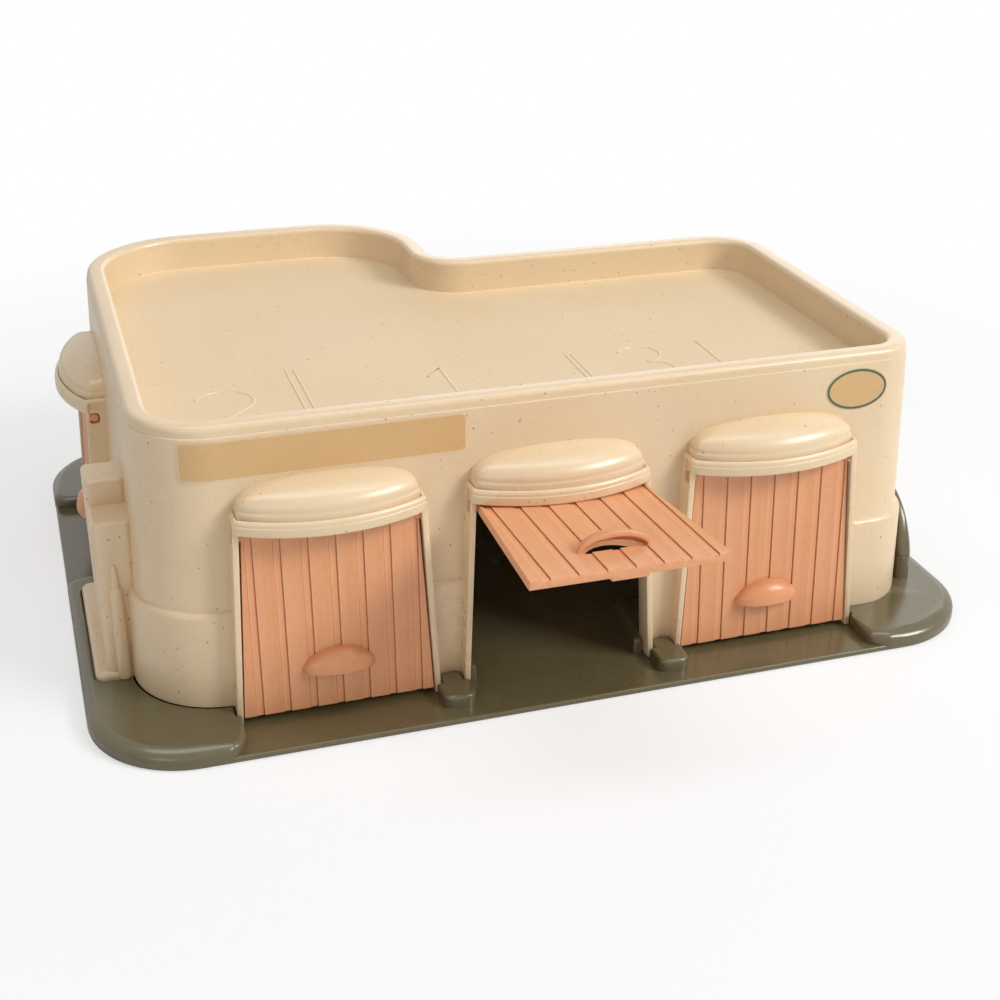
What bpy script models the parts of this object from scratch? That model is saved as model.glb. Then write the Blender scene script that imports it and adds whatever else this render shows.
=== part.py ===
# Toy garage: a moulded body with a roof deck on a ground plate, three front doors and one side door.
# Lengths are in metres. The origin is the centre of the ground plate's underside.
# +X runs to the right of the front doors, +Y to the back and +Z up.

import math

import bmesh
import bpy
from mathutils import Matrix, Vector

MM = 0.001

# Body, measured over the rounded rim at the top
BODY_LENGTH = 326.6 * MM
LEFT_WING_LENGTH = 163.3 * MM
RIGHT_DEPTH = 175.8 * MM
WING_STEP = 76.6 * MM
BODY_HEIGHT = 124.4 * MM
WALL = 2.2 * MM
FRONT_LEFT_RADIUS = 30 * MM
RIGHT_RADIUS = 27 * MM
BACK_RADIUS = 50 * MM
INNER_CORNER_RADIUS = 14 * MM
CORNER_STEPS = 7

# Rim, deck and the drafted walls below
RIM_WIDTH = 12.3 * MM
RIM_ROUND = 3.4 * MM
RIM_LIP = 0.8 * MM
RIM_LIP_DROP = 4.0 * MM
DECK_DROP = 15.6 * MM
DECK_FILLET = 3.0 * MM
WALL_FLARE = 2.2 * MM
SKIRT_HEIGHT = 48.6 * MM
SKIRT_STEP = 2.4 * MM
SKIRT_FLARE = 1.2 * MM
SKIRT_LEDGE = 0.2 * MM

# Ground plate
PLATE_MARGIN_SIDE = 26.7 * MM
PLATE_MARGIN_FRONT = 33.45 * MM
PLATE_MARGIN_BACK = 14.15 * MM
PLATE_FLOOR = 2.5 * MM
KERB_HEIGHT = 8.0 * MM
KERB_ROUND = 4.6 * MM
PLATE_FOOT_CHAMFER = 0.6 * MM
PLATE_CORNER_RADIUS = 40 * MM
KERB_END_RADIUS = 9 * MM
BODY_CLEARANCE = 0.6 * MM
SEAT_GAP = 0.3 * MM

# How far cutters run past the faces they open, and joined pieces into each other
CUT_PAST = 1 * MM
CUT_OUTSIDE = 8 * MM
SINK = 0.5 * MM
SMALLEST_ROUND = 0.3 * MM

# Driveways in front of the doors, splayed at the plate's edge
DRIVE_INSIDE = 10 * MM
DRIVE_MOUTH = 3.5 * MM
DRIVE_SPLAY = 25 * MM
SIDE_DRIVE_MOUTH = 3 * MM
SIDE_DRIVE_SPLAY = 12 * MM
SIDE_DRIVE_RADIUS = 5 * MM

# Doors: three share the front wall between its ends, and the side door is one more of the same
FRONT_END = 32.65 * MM
PILLAR = 15.9 * MM
HINGE_DROP = 42.92 * MM
DOOR_SIDE_TAPER = 3.57 * MM
DOOR_THICKNESS = 3.0 * MM
DOOR_TOP_ABOVE_PIVOT = 2.5 * MM
DOOR_LEAN = math.radians(3.2)
DOOR_OPEN = math.radians(91.0)
DOOR_GAP = 0.6 * MM
DOOR_FLOOR_GAP = 2.4 * MM
PLANK_PITCH = 10.7 * MM
PLANK_BEVEL_WIDTH = 2.9 * MM
PLANK_STEP = 0.5 * MM
PLANK_RETURN = 0.2 * MM
FIRST_PLANK_WIDTH = 7.9 * MM
SIDE_DOOR_FROM_BACK = 89.85 * MM

# Hinge: pins moulded on the door, holes in the cheeks
PIVOT_STANDOFF = 5.95 * MM
PIN_RADIUS = 1.85 * MM
PIN_ROOT = 1.4 * MM
PIN_SLACK = 0.5 * MM
PIN_HOLE_ROUND = 1 * MM
PIN_RECESS = 0.3 * MM

# Pull moulded in the door, open downwards
PULL_WIDTH = 28.8 * MM
PULL_HEIGHT = 11.5 * MM
PULL_DEPTH = 6.4 * MM
PULL_WALL = 1.7 * MM
PULL_RISE = 16.2 * MM
PULL_SINK = 0.2 * MM
PULL_OPEN_PAST = 0.4 * MM
TAB_WIDTH = 15 * MM
TAB_HEIGHT = 3 * MM
TAB_DEPTH = 1.2 * MM
TAB_RISE = 0.4 * MM

# Door surround: two cheeks and a hood
CHEEK = 2.4 * MM
CHEEK_PROUD = 0.5 * MM
CHEEK_INSIDE = 1.0 * MM
HOOD_OVERLAP = 1.6 * MM
HOOD_LIP_HEIGHT = 6.0 * MM
HOOD_LIP_STEP = 1.3 * MM
HOOD_DOME_HEIGHT = 11.2 * MM
HOOD_PROJECTION = 19.95 * MM
HOOD_BOW = 10.0 * MM
HOOD_LIFT = 3.1 * MM
HOOD_DRAW_IN = 2.2 * MM
HOOD_END_SHARE = 0.82
HOOD_STEPS = 12
DOORWAY_DROP = 0.6 * MM
DOORWAY_DEPTH = 8 * MM

# Stops and guides moulded on the ground plate
STOP_WIDTH = 3.6 * MM
STOP_DEPTH = 3.0 * MM
STOP_HEIGHT = 6.5 * MM
STOP_ROUND = 0.6 * MM
NOSE_SETBACK = 8 * MM
NOSE_SLACK = 0.4 * MM
NOSE_GAP = 0.5 * MM
NOSE_RADIUS = 4.5 * MM
NOSE_BACK_RADIUS = 0.8 * MM
NECK_SLACK = 0.1 * MM
GUIDE_LENGTH = 30 * MM
GUIDE_RADIUS = 2 * MM

# Pump on the left wall
PUMP_SETBACK = 28.55 * MM
PUMP_LENGTH = 36.6 * MM
PUMP_FRONT_LENGTH = 18 * MM
PUMP_FRONT_SHORTER = 1 * MM
PUMP_PROJECTION = 15.7 * MM
PUMP_REAR_PROUD = 0.5 * MM
PUMP_BURIED = 1 * MM
PUMP_TOP = 87.5 * MM
PUMP_TIER_DROP = 10.5 * MM
PUMP_FOOT_SHORT = 12.66 * MM
PUMP_FOOT_STEP = 5.0 * MM
PUMP_FOOT_HEIGHT = 11 * MM
PUMP_FOOT_AHEAD = 1 * MM
PUMP_FOOT_ROUND = 2.5 * MM
PUMP_RADIUS = 4 * MM
PUMP_TIER_ROUND = 2.4 * MM
PUMP_HOLLOW_REACH = 8 * MM
NOZZLE_WIDTH = 5.6 * MM
NOZZLE_TIP_WIDTH = 2.0 * MM
NOZZLE_BODY_TOP = 49.5 * MM
NOZZLE_TIP_TOP = 59 * MM
NOZZLE_DEPTH = 2.4 * MM
NOZZLE_OFFSET = 1.2 * MM
NOZZLE_FOOT_GAP = 1.5 * MM
NOZZLE_SHOULDER = 3 * MM
NOZZLE_POINT = 1 * MM

# Upright on the right of the ground plate, beside the body
UPRIGHT_SETBACK = 9.0 * MM
UPRIGHT_LENGTH = 76 * MM
UPRIGHT_HEIGHT = 48 * MM
UPRIGHT_THICKNESS = 6.4 * MM
UPRIGHT_ROUND = 34 * MM
UPRIGHT_STANDOFF = 0.5 * MM
UPRIGHT_SINK = 2 * MM
UPRIGHT_EDGE = 2.5 * MM

# Printed films on the front wall
FILM = 0.25 * MM
FILM_STATIONS = 30
STRIP_SETBACK = 16.5 * MM
STRIP_LENGTH = 110.2 * MM
STRIP_HEIGHT = 15.6 * MM
STRIP_CORNER = 2 * MM
STRIP_DROP = 13.6 * MM
OVAL_SETBACK = 31.1 * MM
OVAL_LENGTH = 27.5 * MM
OVAL_HEIGHT = 17.6 * MM
OVAL_DROP = 15.8 * MM

# Sizes that follow from the ones above
LEFT_DEPTH = RIGHT_DEPTH + WING_STEP
BODY_LEFT = -BODY_LENGTH / 2
BODY_RIGHT = BODY_LENGTH / 2
PLATE_LENGTH = BODY_LENGTH + 2 * PLATE_MARGIN_SIDE
PLATE_DEPTH = PLATE_MARGIN_FRONT + LEFT_DEPTH + PLATE_MARGIN_BACK
PLATE_FRONT = -PLATE_DEPTH / 2
BODY_FRONT = PLATE_FRONT + PLATE_MARGIN_FRONT
BODY_FOOT = PLATE_FLOOR + SEAT_GAP
DECK_Z = BODY_HEIGHT - DECK_DROP
LIP_Z = BODY_HEIGHT - RIM_LIP_DROP
SKIRT_TOP_OUT = WALL_FLARE + SKIRT_STEP
SKIRT_EDGE = SKIRT_HEIGHT - SKIRT_STEP
FLARE_RUN = LIP_Z - SKIRT_HEIGHT
PIVOT_Z = BODY_HEIGHT - HINGE_DROP
DOOR_HEIGHT = (PIVOT_Z - PLATE_FLOOR - DOOR_FLOOR_GAP) / math.cos(DOOR_LEAN)
HOOD_Z = PIVOT_Z + HOOD_LIFT
DOOR_FOOT_WIDTH = (BODY_LENGTH - 2 * FRONT_END - 2 * PILLAR) / 3
DOOR_SPACING = DOOR_FOOT_WIDTH + PILLAR
HALF_FOOT = DOOR_FOOT_WIDTH / 2
HALF_AT_PIVOT = HALF_FOOT - DOOR_SIDE_TAPER
DOOR_FACE = DOOR_THICKNESS / 2
SIDE_DOOR_Y = BODY_FRONT + LEFT_DEPTH - SIDE_DOOR_FROM_BACK
PUMP_FRONT = BODY_FRONT + PUMP_SETBACK
PUMP_FOOT_FRONT = PUMP_FRONT - PUMP_FOOT_AHEAD
DRIVE_CUT_TOP = KERB_HEIGHT + CUT_OUTSIDE
STRIP_LEFT = BODY_LEFT + STRIP_SETBACK
STRIP_RIGHT = STRIP_LEFT + STRIP_LENGTH
STRIP_Z = BODY_HEIGHT - STRIP_DROP
OVAL_X = BODY_RIGHT - OVAL_SETBACK
OVAL_Z = BODY_HEIGHT - OVAL_DROP

COLOURS = {
    "shell": (0.76, 0.58, 0.36),
    "plate": (0.19, 0.17, 0.10),
    "door": (0.74, 0.32, 0.20),
    "film": (0.78, 0.50, 0.28),
}


def clear_scene():
    """Remove whatever the open file holds."""
    for old in list(bpy.data.objects):
        bpy.data.objects.remove(old, do_unlink=True)


def new_collection(name):
    """A collection linked to the scene."""
    collection = bpy.data.collections.new(name)
    bpy.context.scene.collection.children.link(collection)
    return collection


def new_material(name, colour, roughness=0.5):
    """A plain plastic."""
    material = bpy.data.materials.new(name)
    material.use_nodes = True
    shader = material.node_tree.nodes["Principled BSDF"]
    shader.inputs["Base Color"].default_value = (*colour, 1)
    shader.inputs["Roughness"].default_value = roughness
    shader.inputs["Metallic"].default_value = 0
    return material


def link_mesh(name, bm, collection, material=None):
    """Turn a bmesh into an object; a piece without a material is a cutter or a helper."""
    mesh = bpy.data.meshes.new(name)
    bm.to_mesh(mesh)
    bm.free()
    mesh.shade_smooth()
    mesh.set_sharp_from_angle(angle=math.radians(32))
    obj = bpy.data.objects.new(name, mesh)
    collection.objects.link(obj)
    if material:
        mesh.materials.append(material)
    else:
        obj.hide_render = True
        obj.display_type = "WIRE"
    return obj


def boolean(obj, helper, operation):
    """Cut or join with the exact solver."""
    modifier = obj.modifiers.new(operation.lower() + "_" + helper.name, "BOOLEAN")
    modifier.operation = operation
    modifier.object = helper
    modifier.solver = "EXACT"


def rounded_outline(corners, radii, steps=CORNER_STEPS):
    """The points of a polygon whose corners are rounded, inward or outward bends alike."""
    points = []
    count = len(corners)
    for index in range(count):
        corner = Vector(corners[index])
        before = (Vector(corners[index - 1]) - corner).normalized()
        after = (Vector(corners[(index + 1) % count]) - corner).normalized()
        half_angle = before.angle(after) / 2
        radius = radii[index]
        if radius < 0.01 * MM:
            points.append(corner)
            continue
        reach = radius / math.tan(half_angle)
        centre = corner + (before + after).normalized() * (radius / math.sin(half_angle))
        start = corner + before * reach - centre
        end = corner + after * reach - centre
        sweep = start.angle_signed(end)
        for step in range(steps + 1):
            points.append(centre + Matrix.Rotation(-sweep * step / steps, 2) @ start)
    return points


def loft(bm, rings, matrix=Matrix.Identity(4), cap_start=True, cap_end=True):
    """Join rings of equally many points by quads, and close the ends with flat caps."""
    verts = [[bm.verts.new(matrix @ Vector(point)) for point in ring] for ring in rings]
    count = len(rings[0])
    for lower, upper in zip(verts, verts[1:]):
        for index in range(count):
            after = (index + 1) % count
            bm.faces.new((lower[index], lower[after], upper[after], upper[index]))
    if cap_start:
        bm.faces.new(list(reversed(verts[0])))
    if cap_end:
        bm.faces.new(verts[-1])
    return verts


def tidy_normals(bm):
    """Point every face outward."""
    bmesh.ops.recalc_face_normals(bm, faces=bm.faces)


def rounded_box(bm, low, high, radius, matrix=Matrix.Identity(4), top_round=0, steps=3, buried=False):
    """An upright block with round vertical edges; its top edge may be round and its buried +X side flat."""
    x0, y0, z0 = low
    x1, y1, z1 = high
    levels = [(0, z0), (0, z1 - top_round)]
    for step in range(1, 4 if top_round else 1):
        angle = math.radians(30 * step)
        levels.append((top_round * (1 - math.cos(angle)), z1 - top_round * (1 - math.sin(angle))))
    rings = []
    for inset, z in levels:
        left, right = x0 + inset, x1 if buried else x1 - inset
        front, back = y0 + inset, y1 - inset
        corners = [(left, front), (right, front), (right, back), (left, back)]
        outline = rounded_outline(corners, [max(radius - inset, SMALLEST_ROUND)] * 4, steps)
        rings.append([(p.x, p.y, z) for p in outline])
    loft(bm, rings, matrix)


def body_outline(out):
    """The body's plan at a distance outside its rim: an L whose left wing is the deeper."""
    left, right = BODY_LEFT - out, BODY_RIGHT + out
    front = BODY_FRONT - out
    wing = BODY_LEFT + LEFT_WING_LENGTH + out
    right_back = BODY_FRONT + RIGHT_DEPTH + out
    left_back = BODY_FRONT + LEFT_DEPTH + out
    corners = [
        (left, front),
        (right, front),
        (right, right_back),
        (wing, right_back),
        (wing, left_back),
        (left, left_back),
    ]
    radii = [
        FRONT_LEFT_RADIUS + out,
        RIGHT_RADIUS + out,
        RIGHT_RADIUS + out,
        INNER_CORNER_RADIUS - out,
        BACK_RADIUS + out,
        BACK_RADIUS + out,
    ]
    return rounded_outline(corners, radii)


def wall_out(z):
    """How far the drafted wall stands outside the rim at a height."""
    if z >= SKIRT_HEIGHT:
        return -RIM_LIP + (WALL_FLARE + RIM_LIP) * (LIP_Z - z) / FLARE_RUN
    return SKIRT_TOP_OUT + SKIRT_FLARE * (SKIRT_HEIGHT - z) / (SKIRT_HEIGHT - BODY_FOOT)


def body_profile():
    """Distance outside the rim and height, from the foot up, over the rim and down to the deck."""
    profile = [(wall_out(BODY_FOOT), BODY_FOOT), (wall_out(SKIRT_EDGE), SKIRT_EDGE)]
    for angle in (30, 60):
        turn = math.radians(angle)
        profile.append((WALL_FLARE + SKIRT_STEP * math.cos(turn), SKIRT_EDGE + SKIRT_STEP * math.sin(turn)))
    profile.append((WALL_FLARE, SKIRT_HEIGHT + SKIRT_LEDGE))
    profile.append((-RIM_LIP, LIP_Z))
    bead_z = BODY_HEIGHT - RIM_ROUND
    for step in range(9):
        angle = math.pi * step / 8
        half = RIM_WIDTH / 2
        profile.append((-half + half * math.cos(angle), bead_z + RIM_ROUND * math.sin(angle)))
    inner = -RIM_WIDTH - WALL / 4
    for step in range(4):
        turn = math.radians(30 * step)
        drawn_in = DECK_FILLET * (1 - math.cos(turn))
        profile.append((inner - drawn_in, DECK_Z + DECK_FILLET * (1 - math.sin(turn))))
    return profile


def front_place(x):
    """A door module's frame on the front wall: local -Y points out of the wall."""
    return Matrix.Translation((x, BODY_FRONT, 0))


def side_place(y):
    """The same frame turned to the left wall."""
    return Matrix.Translation((BODY_LEFT, y, 0)) @ Matrix.Rotation(-math.pi / 2, 4, "Z")


def door_places():
    """Each door's name and module frame."""
    return [
        ("front_door_left", front_place(-DOOR_SPACING)),
        ("front_door_middle", front_place(0)),
        ("front_door_right", front_place(DOOR_SPACING)),
        ("side_door", side_place(SIDE_DOOR_Y)),
    ]


def half_opening(z):
    """Half the clear width between the cheeks at a height."""
    return HALF_AT_PIVOT + DOOR_GAP + DOOR_SIDE_TAPER * (PIVOT_Z - z) / DOOR_HEIGHT


def hood_half_width():
    """Half the hood's width at its lip."""
    return half_opening(HOOD_Z) + CHEEK + HOOD_OVERLAP


def hood_ring(half, depth, z, back_y):
    """Plan of the hood: straight short ends and a bowed front, closed by a line in the wall."""
    share = depth / HOOD_PROJECTION
    bow = HOOD_BOW * share
    chord = half - HOOD_DRAW_IN * share
    radius = (chord * chord + bow * bow) / (2 * bow)
    end_y = -(depth - bow) * HOOD_END_SHARE
    points = [(-half, back_y, z), (-half, end_y, z)]
    for step in range(HOOD_STEPS + 1):
        x = chord * (2 * step / HOOD_STEPS - 1)
        y = -depth + radius - math.sqrt(radius * radius - x * x)
        points.append((x, y, z))
    points += [(half, end_y, z), (half, back_y, z)]
    return points


def hood_rings(inset, floor_z, back_y):
    """Lip, step and dome of a hood; the hollow inside uses an inset and a lower floor."""
    half = hood_half_width() - inset
    depth = HOOD_PROJECTION - inset
    lip_top = HOOD_Z + HOOD_LIP_HEIGHT
    rings = [hood_ring(half, depth, floor_z, back_y(floor_z))]
    rings.append(hood_ring(half, depth, lip_top - inset, back_y(lip_top)))
    height = HOOD_DOME_HEIGHT
    for degrees in (0, 18, 36, 52, 66, 78, 86):
        angle = math.radians(degrees)
        rise = math.sin(angle)
        across = (1 - rise ** 2.6) ** (1 / 2.6)
        reach = math.cos(angle)
        z = lip_top - inset + height * rise
        dome_half = (half - 2 * HOOD_LIP_STEP) * across
        dome_depth = (depth - HOOD_LIP_STEP) * reach
        rings.append(hood_ring(dome_half, dome_depth, z, back_y(z)))
    return rings


def door_line(z):
    """Local y of a closed door's mid-plane at a height."""
    return -PIVOT_STANDOFF - (PIVOT_Z - z) * math.tan(DOOR_LEAN)


def cheek_profile():
    """Side view of a cheek, local y and z: level with the door in front, through the wall behind."""
    top = HOOD_Z + HOOD_LIP_HEIGHT - WALL
    front = DOOR_FACE + CHEEK_PROUD
    inside = WALL + CHEEK_INSIDE
    return [
        (door_line(BODY_FOOT) - front, BODY_FOOT),
        (inside - wall_out(BODY_FOOT), BODY_FOOT),
        (inside - wall_out(SKIRT_EDGE), SKIRT_EDGE),
        (inside - wall_out(SKIRT_HEIGHT + SKIRT_STEP), SKIRT_HEIGHT + SKIRT_STEP),
        (inside - wall_out(HOOD_Z), HOOD_Z),
        (inside - wall_out(top), top),
        (door_line(top) - front, top),
    ]


def add_cheek(bm, side, place):
    """One flared cheek, from its inner face to its outer face."""
    inner = [(side * half_opening(z), y, z) for y, z in cheek_profile()]
    outer = [(side * (half_opening(z) + CHEEK), y, z) for y, z in cheek_profile()]
    loft(bm, [inner, outer], place)


def add_doorway(bm, place):
    """The prism that opens the wall between two cheeks."""
    rings = []
    front = -PIVOT_STANDOFF - CUT_PAST
    for z in (BODY_FOOT - 2 * CUT_PAST, HOOD_Z - DOORWAY_DROP):
        half = half_opening(z) + CHEEK / 2
        ring = [(-half, front), (half, front), (half, DOORWAY_DEPTH), (-half, DOORWAY_DEPTH)]
        rings.append([(x, y, z) for x, y in ring])
    loft(bm, rings, place)


def add_pin_holes(bm, place):
    """Square holes through both cheeks at the pivot."""
    half = PIN_RADIUS + PIN_SLACK
    square = [(-half, -half), (half, -half), (half, half), (-half, half)]
    outline = rounded_outline(square, [PIN_HOLE_ROUND] * 4, 2)
    for side in (-1, 1):
        inner = side * (half_opening(PIVOT_Z) - CUT_PAST)
        outer = side * (half_opening(PIVOT_Z) + CHEEK + CUT_PAST)
        rings = [[(x, p.x - PIVOT_STANDOFF, p.y + PIVOT_Z) for p in outline] for x in (inner, outer)]
        loft(bm, rings, place)


def cheek_outside():
    """Half the width over both cheeks at the floor."""
    return half_opening(BODY_FOOT) + CHEEK


def pump_foot_back():
    """Where the pump's foot ends, short of the side door's surround."""
    return SIDE_DOOR_Y - cheek_outside() - PUMP_FOOT_SHORT


def pump_box(bm, front, back, projection, top, top_round):
    """A block on the left wall between two places along it, with a round top edge."""
    inner = BODY_LEFT - wall_out(top) + PUMP_BURIED
    low = (BODY_LEFT - projection, front, BODY_FOOT)
    rounded_box(bm, low, (inner, back, top), PUMP_RADIUS, top_round=top_round, buried=True)


def add_pump(bm_front, bm_rear, bm_foot):
    """Two tiers on a foot, as three overlapping blocks that end within the wall."""
    back = PUMP_FRONT + PUMP_LENGTH
    front_top = PUMP_TOP - PUMP_TIER_DROP
    front_back = back - PUMP_FRONT_SHORTER
    pump_box(bm_front, PUMP_FRONT, front_back, PUMP_PROJECTION, front_top, PUMP_TIER_ROUND)
    rear_front = PUMP_FRONT + PUMP_FRONT_LENGTH
    rear_out = PUMP_PROJECTION + PUMP_REAR_PROUD
    pump_box(bm_rear, rear_front, back, rear_out, PUMP_TOP, PUMP_TIER_ROUND)
    foot_out = PUMP_PROJECTION + PUMP_FOOT_STEP
    pump_box(bm_foot, PUMP_FOOT_FRONT, pump_foot_back(), foot_out, PUMP_FOOT_HEIGHT, PUMP_FOOT_ROUND)


def add_pump_hollow(bm):
    """The space behind the pump's skin, open to the inside and below."""
    back = PUMP_FRONT + PUMP_LENGTH - PUMP_FRONT_SHORTER - WALL
    top = PUMP_TOP - PUMP_TIER_DROP - WALL
    low = (BODY_LEFT - PUMP_PROJECTION + WALL, PUMP_FRONT + WALL, BODY_FOOT - CUT_PAST)
    rounded_box(bm, low, (BODY_LEFT + PUMP_HOLLOW_REACH, back, top), PUMP_RADIUS - WALL)


def add_nozzle(bm):
    """A tapered nozzle in relief on the pump's front face."""
    x = BODY_LEFT - PUMP_PROJECTION / 2 - NOZZLE_OFFSET
    sections = [
        (NOZZLE_WIDTH, KERB_HEIGHT + NOZZLE_FOOT_GAP),
        (NOZZLE_WIDTH * 0.9, NOZZLE_BODY_TOP - NOZZLE_SHOULDER),
        (NOZZLE_TIP_WIDTH * 1.5, NOZZLE_BODY_TOP),
        (NOZZLE_TIP_WIDTH, NOZZLE_TIP_TOP - NOZZLE_POINT),
        (NOZZLE_TIP_WIDTH * 0.3, NOZZLE_TIP_TOP),
    ]
    rings = []
    for width, z in sections:
        depth = NOZZLE_DEPTH * width / NOZZLE_WIDTH
        ring = [(x - width / 2, PUMP_FRONT + CUT_PAST, z)]
        for step in range(7):
            angle = math.pi * step / 6
            ring.append((x - width / 2 * math.cos(angle), PUMP_FRONT - depth * math.sin(angle), z))
        ring.append((x + width / 2, PUMP_FRONT + CUT_PAST, z))
        rings.append(ring)
    loft(bm, rings)


def helper(name, cutters, fill):
    """A helper solid made of one or more closed bodies."""
    bm = bmesh.new()
    fill(bm)
    tidy_normals(bm)
    return link_mesh(name, bm, cutters)


def make_shell(parts, cutters, material):
    """The body: wall, rim and deck in one skin, with four door surrounds and the pump."""
    bm = bmesh.new()
    rings = [[(p.x, p.y, z) for p in body_outline(out)] for out, z in body_profile()]
    loft(bm, rings, cap_start=False)
    tidy_normals(bm)
    shell = link_mesh("garage_shell", bm, parts, material)
    skin = shell.modifiers.new("skin", "SOLIDIFY")
    skin.thickness = WALL
    skin.offset = -1
    skin.use_even_offset = True
    skin.use_quality_normals = True

    places = [place for _, place in door_places()]

    def hoods(bm):
        for place in places:
            loft(bm, hood_rings(0, HOOD_Z, lambda z: WALL / 2 - wall_out(z)), place)

    def hollows(bm):
        for place in places:
            loft(bm, hood_rings(WALL, HOOD_Z - 4 * CUT_PAST, lambda z: -SMALLEST_ROUND - wall_out(z)), place)

    def doorways(bm):
        for place in places:
            add_doorway(bm, place)

    def cheeks(bm):
        for place in places:
            add_cheek(bm, -1, place)
            add_cheek(bm, 1, place)

    def pin_holes(bm):
        for place in places:
            add_pin_holes(bm, place)

    boolean(shell, helper("hoods", cutters, hoods), "UNION")
    boolean(shell, helper("hood_hollows", cutters, hollows), "DIFFERENCE")
    boolean(shell, helper("doorways", cutters, doorways), "DIFFERENCE")
    boolean(shell, helper("cheeks", cutters, cheeks), "UNION")
    boolean(shell, helper("pin_holes", cutters, pin_holes), "DIFFERENCE")

    front, rear, foot = bmesh.new(), bmesh.new(), bmesh.new()
    add_pump(front, rear, foot)
    for name, block in (("pump_rear", rear), ("pump_front", front), ("pump_foot", foot)):
        tidy_normals(block)
        boolean(shell, link_mesh(name, block, cutters), "UNION")
    boolean(shell, helper("nozzle", cutters, add_nozzle), "UNION")
    boolean(shell, helper("pump_hollow", cutters, add_pump_hollow), "DIFFERENCE")
    return shell


def plate_rings():
    """The ground plate's outline, drawn in towards the top for a soft edge."""
    half_x, half_y = PLATE_LENGTH / 2, PLATE_DEPTH / 2
    edge = [(PLATE_FOOT_CHAMFER, 0), (0, PLATE_FOOT_CHAMFER)]
    for drawn_in, rise in ((0.11, 0.45), (0.33, 0.75), (0.59, 0.92), (1, 1)):
        edge.append((KERB_ROUND * drawn_in, KERB_HEIGHT * rise))
    rings = []
    for inset, z in edge:
        x, y = half_x - inset, half_y - inset
        outline = rounded_outline([(-x, -y), (x, -y), (x, y), (-x, y)], [PLATE_CORNER_RADIUS - inset] * 4, 9)
        rings.append([(p.x, p.y, z) for p in outline])
    return rings


def prism(bm, outline, low_z, high_z, matrix=Matrix.Identity(4)):
    """An outline drawn straight up."""
    loft(bm, [[(p[0], p[1], z) for p in outline] for z in (low_z, high_z)], matrix)


def add_driveways(bm_front, bm_side):
    """The low strips in front of the doors, open at the plate's edge."""
    half = DOOR_SPACING + cheek_outside() + BODY_CLEARANCE
    splayed = half + DRIVE_SPLAY
    inner = BODY_FRONT + DRIVE_INSIDE
    mouth = PLATE_FRONT + DRIVE_MOUTH
    outside = PLATE_FRONT - CUT_OUTSIDE
    corners = [(-splayed, outside), (splayed, outside), (half, mouth)]
    corners += [(half, inner), (-half, inner), (-half, mouth)]
    radii = [0, 0, KERB_END_RADIUS, 0, 0, KERB_END_RADIUS]
    prism(bm_front, rounded_outline(corners, radii, 5), PLATE_FLOOR, DRIVE_CUT_TOP)
    half = cheek_outside() + BODY_CLEARANCE
    splayed = half + SIDE_DRIVE_SPLAY
    inner = BODY_LEFT + DRIVE_INSIDE
    mouth = -PLATE_LENGTH / 2 + SIDE_DRIVE_MOUTH
    outside = -PLATE_LENGTH / 2 - CUT_OUTSIDE
    corners = [(outside, splayed), (outside, -splayed), (mouth, -half)]
    corners += [(inner, -half), (inner, half), (mouth, half)]
    corners = [(x, SIDE_DOOR_Y + y) for x, y in corners]
    radii = [0, 0, SIDE_DRIVE_RADIUS, 0, 0, SIDE_DRIVE_RADIUS]
    prism(bm_side, rounded_outline(corners, radii, 4), PLATE_FLOOR, DRIVE_CUT_TOP)


def add_noses(bm):
    """Between each two front doors: a nose on the driveway and a guide inside."""
    foot = PLATE_FLOOR - SINK
    half = DOOR_SPACING / 2 - half_opening(BODY_FOOT) - NOSE_SLACK
    slim = half - CHEEK - NECK_SLACK
    skirt_front = BODY_FRONT - wall_out(BODY_FOOT)
    cheek_front = BODY_FRONT + door_line(BODY_FOOT) - DOOR_FACE - CHEEK_PROUD
    nose_front = PLATE_FRONT + NOSE_SETBACK
    nose_back = cheek_front - NOSE_GAP
    neck_back = skirt_front - BODY_CLEARANCE - SEAT_GAP
    guide_front = skirt_front + WALL + CHEEK_INSIDE + 2 * BODY_CLEARANCE
    guide_back = guide_front + GUIDE_LENGTH
    for side in (-1, 1):
        x = side * DOOR_SPACING / 2
        corners = [(-half, nose_front), (half, nose_front), (half, nose_back), (slim, nose_back)]
        corners += [(slim, neck_back), (-slim, neck_back), (-slim, nose_back), (-half, nose_back)]
        corners = [(x + dx, y) for dx, y in corners]
        radii = [NOSE_RADIUS, NOSE_RADIUS, NOSE_BACK_RADIUS, 0, 0, 0, 0, NOSE_BACK_RADIUS]
        prism(bm, rounded_outline(corners, radii, 4), foot, KERB_HEIGHT)
        rounded_box(bm, (x - half, guide_front, foot), (x + half, guide_back, KERB_HEIGHT), GUIDE_RADIUS)


def add_stops(bm):
    """Two small posts behind each closed door."""
    foot = PLATE_FLOOR - SINK
    inner_face = door_line(PLATE_FLOOR + DOOR_FLOOR_GAP) + DOOR_FACE + PLANK_STEP
    outside = half_opening(BODY_FOOT) - BODY_CLEARANCE
    for _, place in door_places():
        for side in (-1, 1):
            near = side * (outside - STOP_WIDTH)
            far = side * outside
            low = (min(near, far), inner_face, foot)
            high = (max(near, far), inner_face + STOP_DEPTH, PLATE_FLOOR + STOP_HEIGHT)
            rounded_box(bm, low, high, STOP_ROUND, place, steps=1)


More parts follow.
